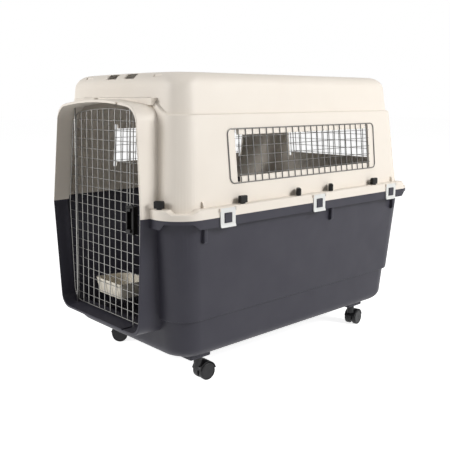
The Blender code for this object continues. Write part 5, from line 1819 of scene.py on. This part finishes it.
@dataclass
class Casters:
    """Four swivelling twin-wheel casters: stem, hood, axle and two wheels each."""

    x: float = 0.250
    front_y: float = -0.393
    rear_y: float = 0.4133
    headings: dict[str, float] = field(default_factory=lambda: {
        "front_right": -2.3, "rear_right": 9.4, "front_left": -40.0, "rear_left": 14.0})
    pedestal_z: float = 0.088
    wheel: float = 0.029
    wheel_width: float = 0.017
    wheel_edge: float = 0.0035
    trail: float = 0.025
    web: float = 0.013
    side_play: float = 0.0006
    axle: float = 0.003
    gap: float = 0.002
    hood_thick: float = 0.003
    hood_cover: float = 0.9
    hood_edge: float = 0.001
    hood_arc: tuple[float, float] = (10.0, 165.0)
    web_foot: float = 0.009
    web_cut_x: float = 0.02
    web_cut_y: tuple[float, float] = (-0.05, 0.10)
    web_cut_low: float = -0.01
    stem: float = 0.0055
    stem_depth: float = 0.012
    collar: float = 0.012
    collar_height: float = 0.003
    collar_edge: float = 0.0005
    boss: float = 0.014
    boss_low: float = 0.052
    boss_edge: float = 0.0015
    socket_low: float = 0.064
    socket_past: float = 0.020
    rim_inset: float = 0.0012
    groove_depth: float = 0.0010
    groove_width: float = 0.0008
    disc_rise: float = 0.0006
    disc_width: float = 0.0165
    cap_sink: float = 0.0004
    fit: float = 0.0003

    @property
    def hub(self) -> Point:
        """The wheels' middle, with the swivel axis at the origin."""
        return 0.0, self.trail, self.wheel

    def stem_pattern(self) -> Workpiece:
        """Make the steel stem with its collar."""
        top = self.pedestal_z - self.fit
        stem = Workpiece.rod("stem", (0.0, 0.0, self.socket_low),
                             (0.0, 0.0, self.pedestal_z + self.stem_depth), self.stem, 24)
        collar = Workpiece.rod("collar", (0.0, 0.0, top - self.collar_height), (0.0, 0.0, top),
                               self.collar, 32)
        collar.pick(Pick.EDGES, lambda p, n: abs(n.z) < ACROSS).bevel(self.collar_edge, 2)
        return stem.combine(collar, Join.UNION).smooth()

    def hood_pattern(self) -> Workpiece:
        """Make the hood: a swept cover over both wheels, a web between them and the swivel boss."""
        low, high = self.hood_arc
        middle = self.wheel + self.gap + self.hood_thick / 2
        half = self.web / 2 + self.side_play + self.wheel_width * self.hood_cover
        angle = math.radians(low)
        start = (0.0, self.trail + middle * math.cos(angle), self.wheel + middle * math.sin(angle))
        cover = Workpiece.sheet("hood_cover", start, (2 * half, self.hood_thick), (angle, 0.0, 0.0))
        cover.pick_all().spin(math.radians(low - high), self.hub, (1.0, 0.0, 0.0), 22).repair()
        line = half - SLACK
        cover.pick(Pick.EDGES, lambda p, n: abs(p.x) > line and abs(n.x) < ACROSS).bevel(self.hood_edge, 2)
        disc = Workpiece.rod("hood_web", (-self.web / 2, self.trail, self.wheel),
                             (self.web / 2, self.trail, self.wheel), middle, 48)
        reach, (near, far) = self.web_cut_x, self.web_cut_y
        below = Workpiece.block("web_below", (-reach, near, self.web_cut_low),
                                (reach, far, self.wheel - self.web_foot))
        disc.combine(below, Join.CUT)
        top = self.pedestal_z - 2 * self.fit - self.collar_height
        boss = Workpiece.rod("hood_boss", (0.0, 0.0, self.boss_low), (0.0, 0.0, top), self.boss, 32)
        boss.pick(Pick.EDGES, lambda p, n: abs(n.z) < ACROSS and p.z > top - MILLIMETRE)
        boss.bevel(self.boss_edge, 3)
        hood = cover.combine(disc, Join.UNION).combine(boss, Join.UNION)
        socket = Workpiece.rod("stem_socket", (0.0, 0.0, self.socket_low - self.fit),
                               (0.0, 0.0, top + self.socket_past), self.stem + self.fit, 24)
        return hood.combine(socket, Join.CUT).smooth()

    def wheel_pattern(self) -> Workpiece:
        """Make one right-hand wheel: a tyre round a flat disc with a small cap."""
        inner = self.web / 2 + self.side_play
        outer = inner + self.wheel_width
        wheel = Workpiece.rod("wheel", (inner, self.trail, self.wheel), (outer, self.trail, self.wheel),
                              self.wheel, 56)
        wheel.pick(Pick.EDGES, lambda p, n: abs(n.x) < ACROSS).bevel(self.wheel_edge, 4)
        wheel.pick(Pick.FACES, lambda p, n: n.x > ALONG and p.x > outer - SLACK)
        wheel.inset(self.rim_inset).extrude((-self.groove_depth, 0.0, 0.0))
        wheel.inset(self.groove_width).extrude((self.disc_rise, 0.0, 0.0))
        wheel.inset(self.disc_width).extrude((-self.cap_sink, 0.0, 0.0))
        return wheel.smooth(40.0)

    def build(self) -> None:
        """Build all four casters in place of their CAD nodes."""
        stem, hood, wheel = self.stem_pattern(), self.hood_pattern(), self.wheel_pattern()
        half = self.web / 2 + self.side_play + self.wheel_width - self.wheel_edge
        axle = Workpiece.rod("axle", (-half, self.trail, self.wheel), (half, self.trail, self.wheel),
                             self.axle, 16)
        for side in Side:
            for end, y in (("front", self.front_y), ("rear", self.rear_y)):
                name = f"{end}_{side.word}"
                spot = Matrix.Translation((side.value * self.x, y, 0.0))
                turned = spot @ Matrix.Rotation(math.radians(self.headings[name]), 4, "Z")
                stem.copy(f"stem_{name}", spot).dress(ZINC_STEEL, "crate", f"caster_stem_{name}")
                hood.copy(f"hood_{name}", turned).dress(CASTER_NYLON, f"caster_{name}", f"caster_hood_{name}")
                axle.copy(f"axle_{name}", turned).dress(ZINC_STEEL, f"wheels_{name}", f"caster_axle_{name}")
                for hand in Side:
                    disc = wheel.copy(f"wheel_{name}_{hand.word}", turned @ hand.flip)
                    disc.dress(CASTER_NYLON, f"wheels_{name}", f"caster_wheel_{name}_{hand.word}")
        for pattern in (stem, hood, wheel, axle):
            pattern.discard()


# Studio


@dataclass(frozen=True)
class SoftBox:
    """One square lamp: where it hangs round the crate, its size and its power."""

    name: str
    azimuth: float
    height: float
    distance: float
    size: float
    power: float


def seen_directly(tree: bpy.types.NodeTree) -> bpy.types.NodeSocket:
    """Say 1 for what the camera sees straight, in a reflection or through something clear, and else 0."""
    path = add_node(tree, "LightPath").outputs
    seen = path["Is Camera Ray"]
    for ray in ("Is Glossy Ray", "Is Transmission Ray"):
        seen = add_node(tree, "Math", {"0": seen, "1": path[ray]}, operation="MAXIMUM").outputs[0]
    return seen


@dataclass
class Studio:
    """Plain white photo studio with the camera of the photograph."""

    target: Point = (0.0, -0.0456, 0.4365)
    distance: float = 2.497
    azimuth: float = 47.87
    elevation: float = 10.64
    roll: float = 0.163
    focal_px: float = 661.3
    picture_px: float = 450.0
    sensor_mm: float = 36.0
    ambient: float = 0.15
    paper: float = 0.95
    paper_glow: float = 0.85
    paper_roughness: float = 0.9
    paper_size: float = 60.0
    lamps: tuple[SoftBox, ...] = (SoftBox("right_light", 112.0, 2.8, 4.4, 1.7, 170.0),
                                  SoftBox("front_light", -22.0, 2.0, 3.6, 1.4, 72.0),
                                  SoftBox("top_light", 60.0, 3.3, 0.9, 2.0, 1.5))

    def build(self) -> None:
        """Set up the camera, lamps, world and floor."""
        self.camera()
        self.world()
        for box in self.lamps:
            self.lamp(box)
        self.floor()
        bpy.context.scene.view_settings.view_transform = "Standard"

    def camera(self) -> None:
        """Stand the camera where the photograph was taken from."""
        azimuth, elevation = math.radians(self.azimuth), math.radians(self.elevation)
        away = Vector((math.sin(azimuth) * math.cos(elevation), -math.cos(azimuth) * math.cos(elevation),
                       math.sin(elevation)))
        data = bpy.data.cameras.new("camera")
        data.sensor_width = self.sensor_mm
        data.lens = self.focal_px / self.picture_px * self.sensor_mm
        camera = add_object("camera", data)
        turn = (-away).to_track_quat("-Z", "Y") @ Quaternion((0.0, 0.0, 1.0), -math.radians(self.roll))
        place = Matrix.Translation(Vector(self.target) + away * self.distance)
        camera.matrix_world = place @ turn.to_matrix().to_4x4()
        bpy.context.scene.camera = camera

    def lamp(self, box: SoftBox) -> None:
        """Hang one soft box that looks at the crate."""
        data = bpy.data.lights.new(box.name, "AREA")
        data.shape = "SQUARE"
        data.size = box.size
        data.energy = box.power
        lamp = add_object(box.name, data)
        angle = math.radians(box.azimuth)
        place = Vector((math.sin(angle) * box.distance, -math.cos(angle) * box.distance, box.height))
        lamp.location = place
        lamp.rotation_euler = (Vector(self.target) - place).to_track_quat("-Z", "Y").to_euler()

    def world(self) -> None:
        """Even light all round, seen as pure white."""
        world = bpy.data.worlds.new("studio")
        bpy.context.scene.world = world
        world.use_nodes = True
        tree = world.node_tree
        strength = add_node(tree, "MapRange", {"Value": seen_directly(tree), "To Min": self.ambient,
                                               "To Max": 1.0}).outputs[0]
        background = tree.nodes["Background"]
        background.inputs["Color"].default_value = WHITE
        tree.links.new(strength, background.inputs["Strength"])

    def floor(self) -> None:
        """White paper under the crate: it keeps the crate's shadow and melts into the background."""
        piece = Workpiece.sheet("floor", ORIGIN, (self.paper_size, self.paper_size))
        material = bpy.data.materials.new("white_paper")
        material.use_nodes = True
        tree = material.node_tree
        shader = tree.nodes["Principled BSDF"]
        shader.inputs["Base Color"].default_value = (self.paper, self.paper, self.paper, 1.0)
        shader.inputs["Roughness"].default_value = self.paper_roughness
        shader.inputs["Specular IOR Level"].default_value = 0.0
        level = add_node(tree, "Math", {"0": seen_directly(tree), "1": self.paper_glow},
                         operation="MULTIPLY").outputs[0]
        glow = add_node(tree, "Emission", {"Color": WHITE, "Strength": level}).outputs[0]
        both = add_node(tree, "AddShader", {"0": shader.outputs[0], "1": glow}).outputs[0]
        tree.links.new(both, tree.nodes["Material Output"].inputs["Surface"])
        piece.thing.data.materials.append(material)


def corners(box: tuple[Vector, Vector]) -> list[list[float]]:
    """A box's two corners as plain lists."""
    return [[round(value, 6) for value in corner] for corner in box]


def main() -> None:
    """Build the looks of the crate."""
    logging.basicConfig(level=logging.INFO, format="%(name)s: %(message)s")
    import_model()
    clear_selection()
    Studio().build()
    rim, snout = Rim(), Snout()
    door, clips = Door(snout), SideClips(rim)
    LowerShell(rim, snout, door.sockets).build()
    upper = UpperShell(rim, snout, door.sockets, clips.pin_holes)
    upper.build()
    Grilles(rim, upper).build()
    door.build()
    Latch(door).build()
    Dish(door).build()
    clips.build()
    RimBolts(rim).build()
    Casters().build()
    clear_selection()
    bpy.context.view_layer.update()


if __name__ == "__main__":
    main()
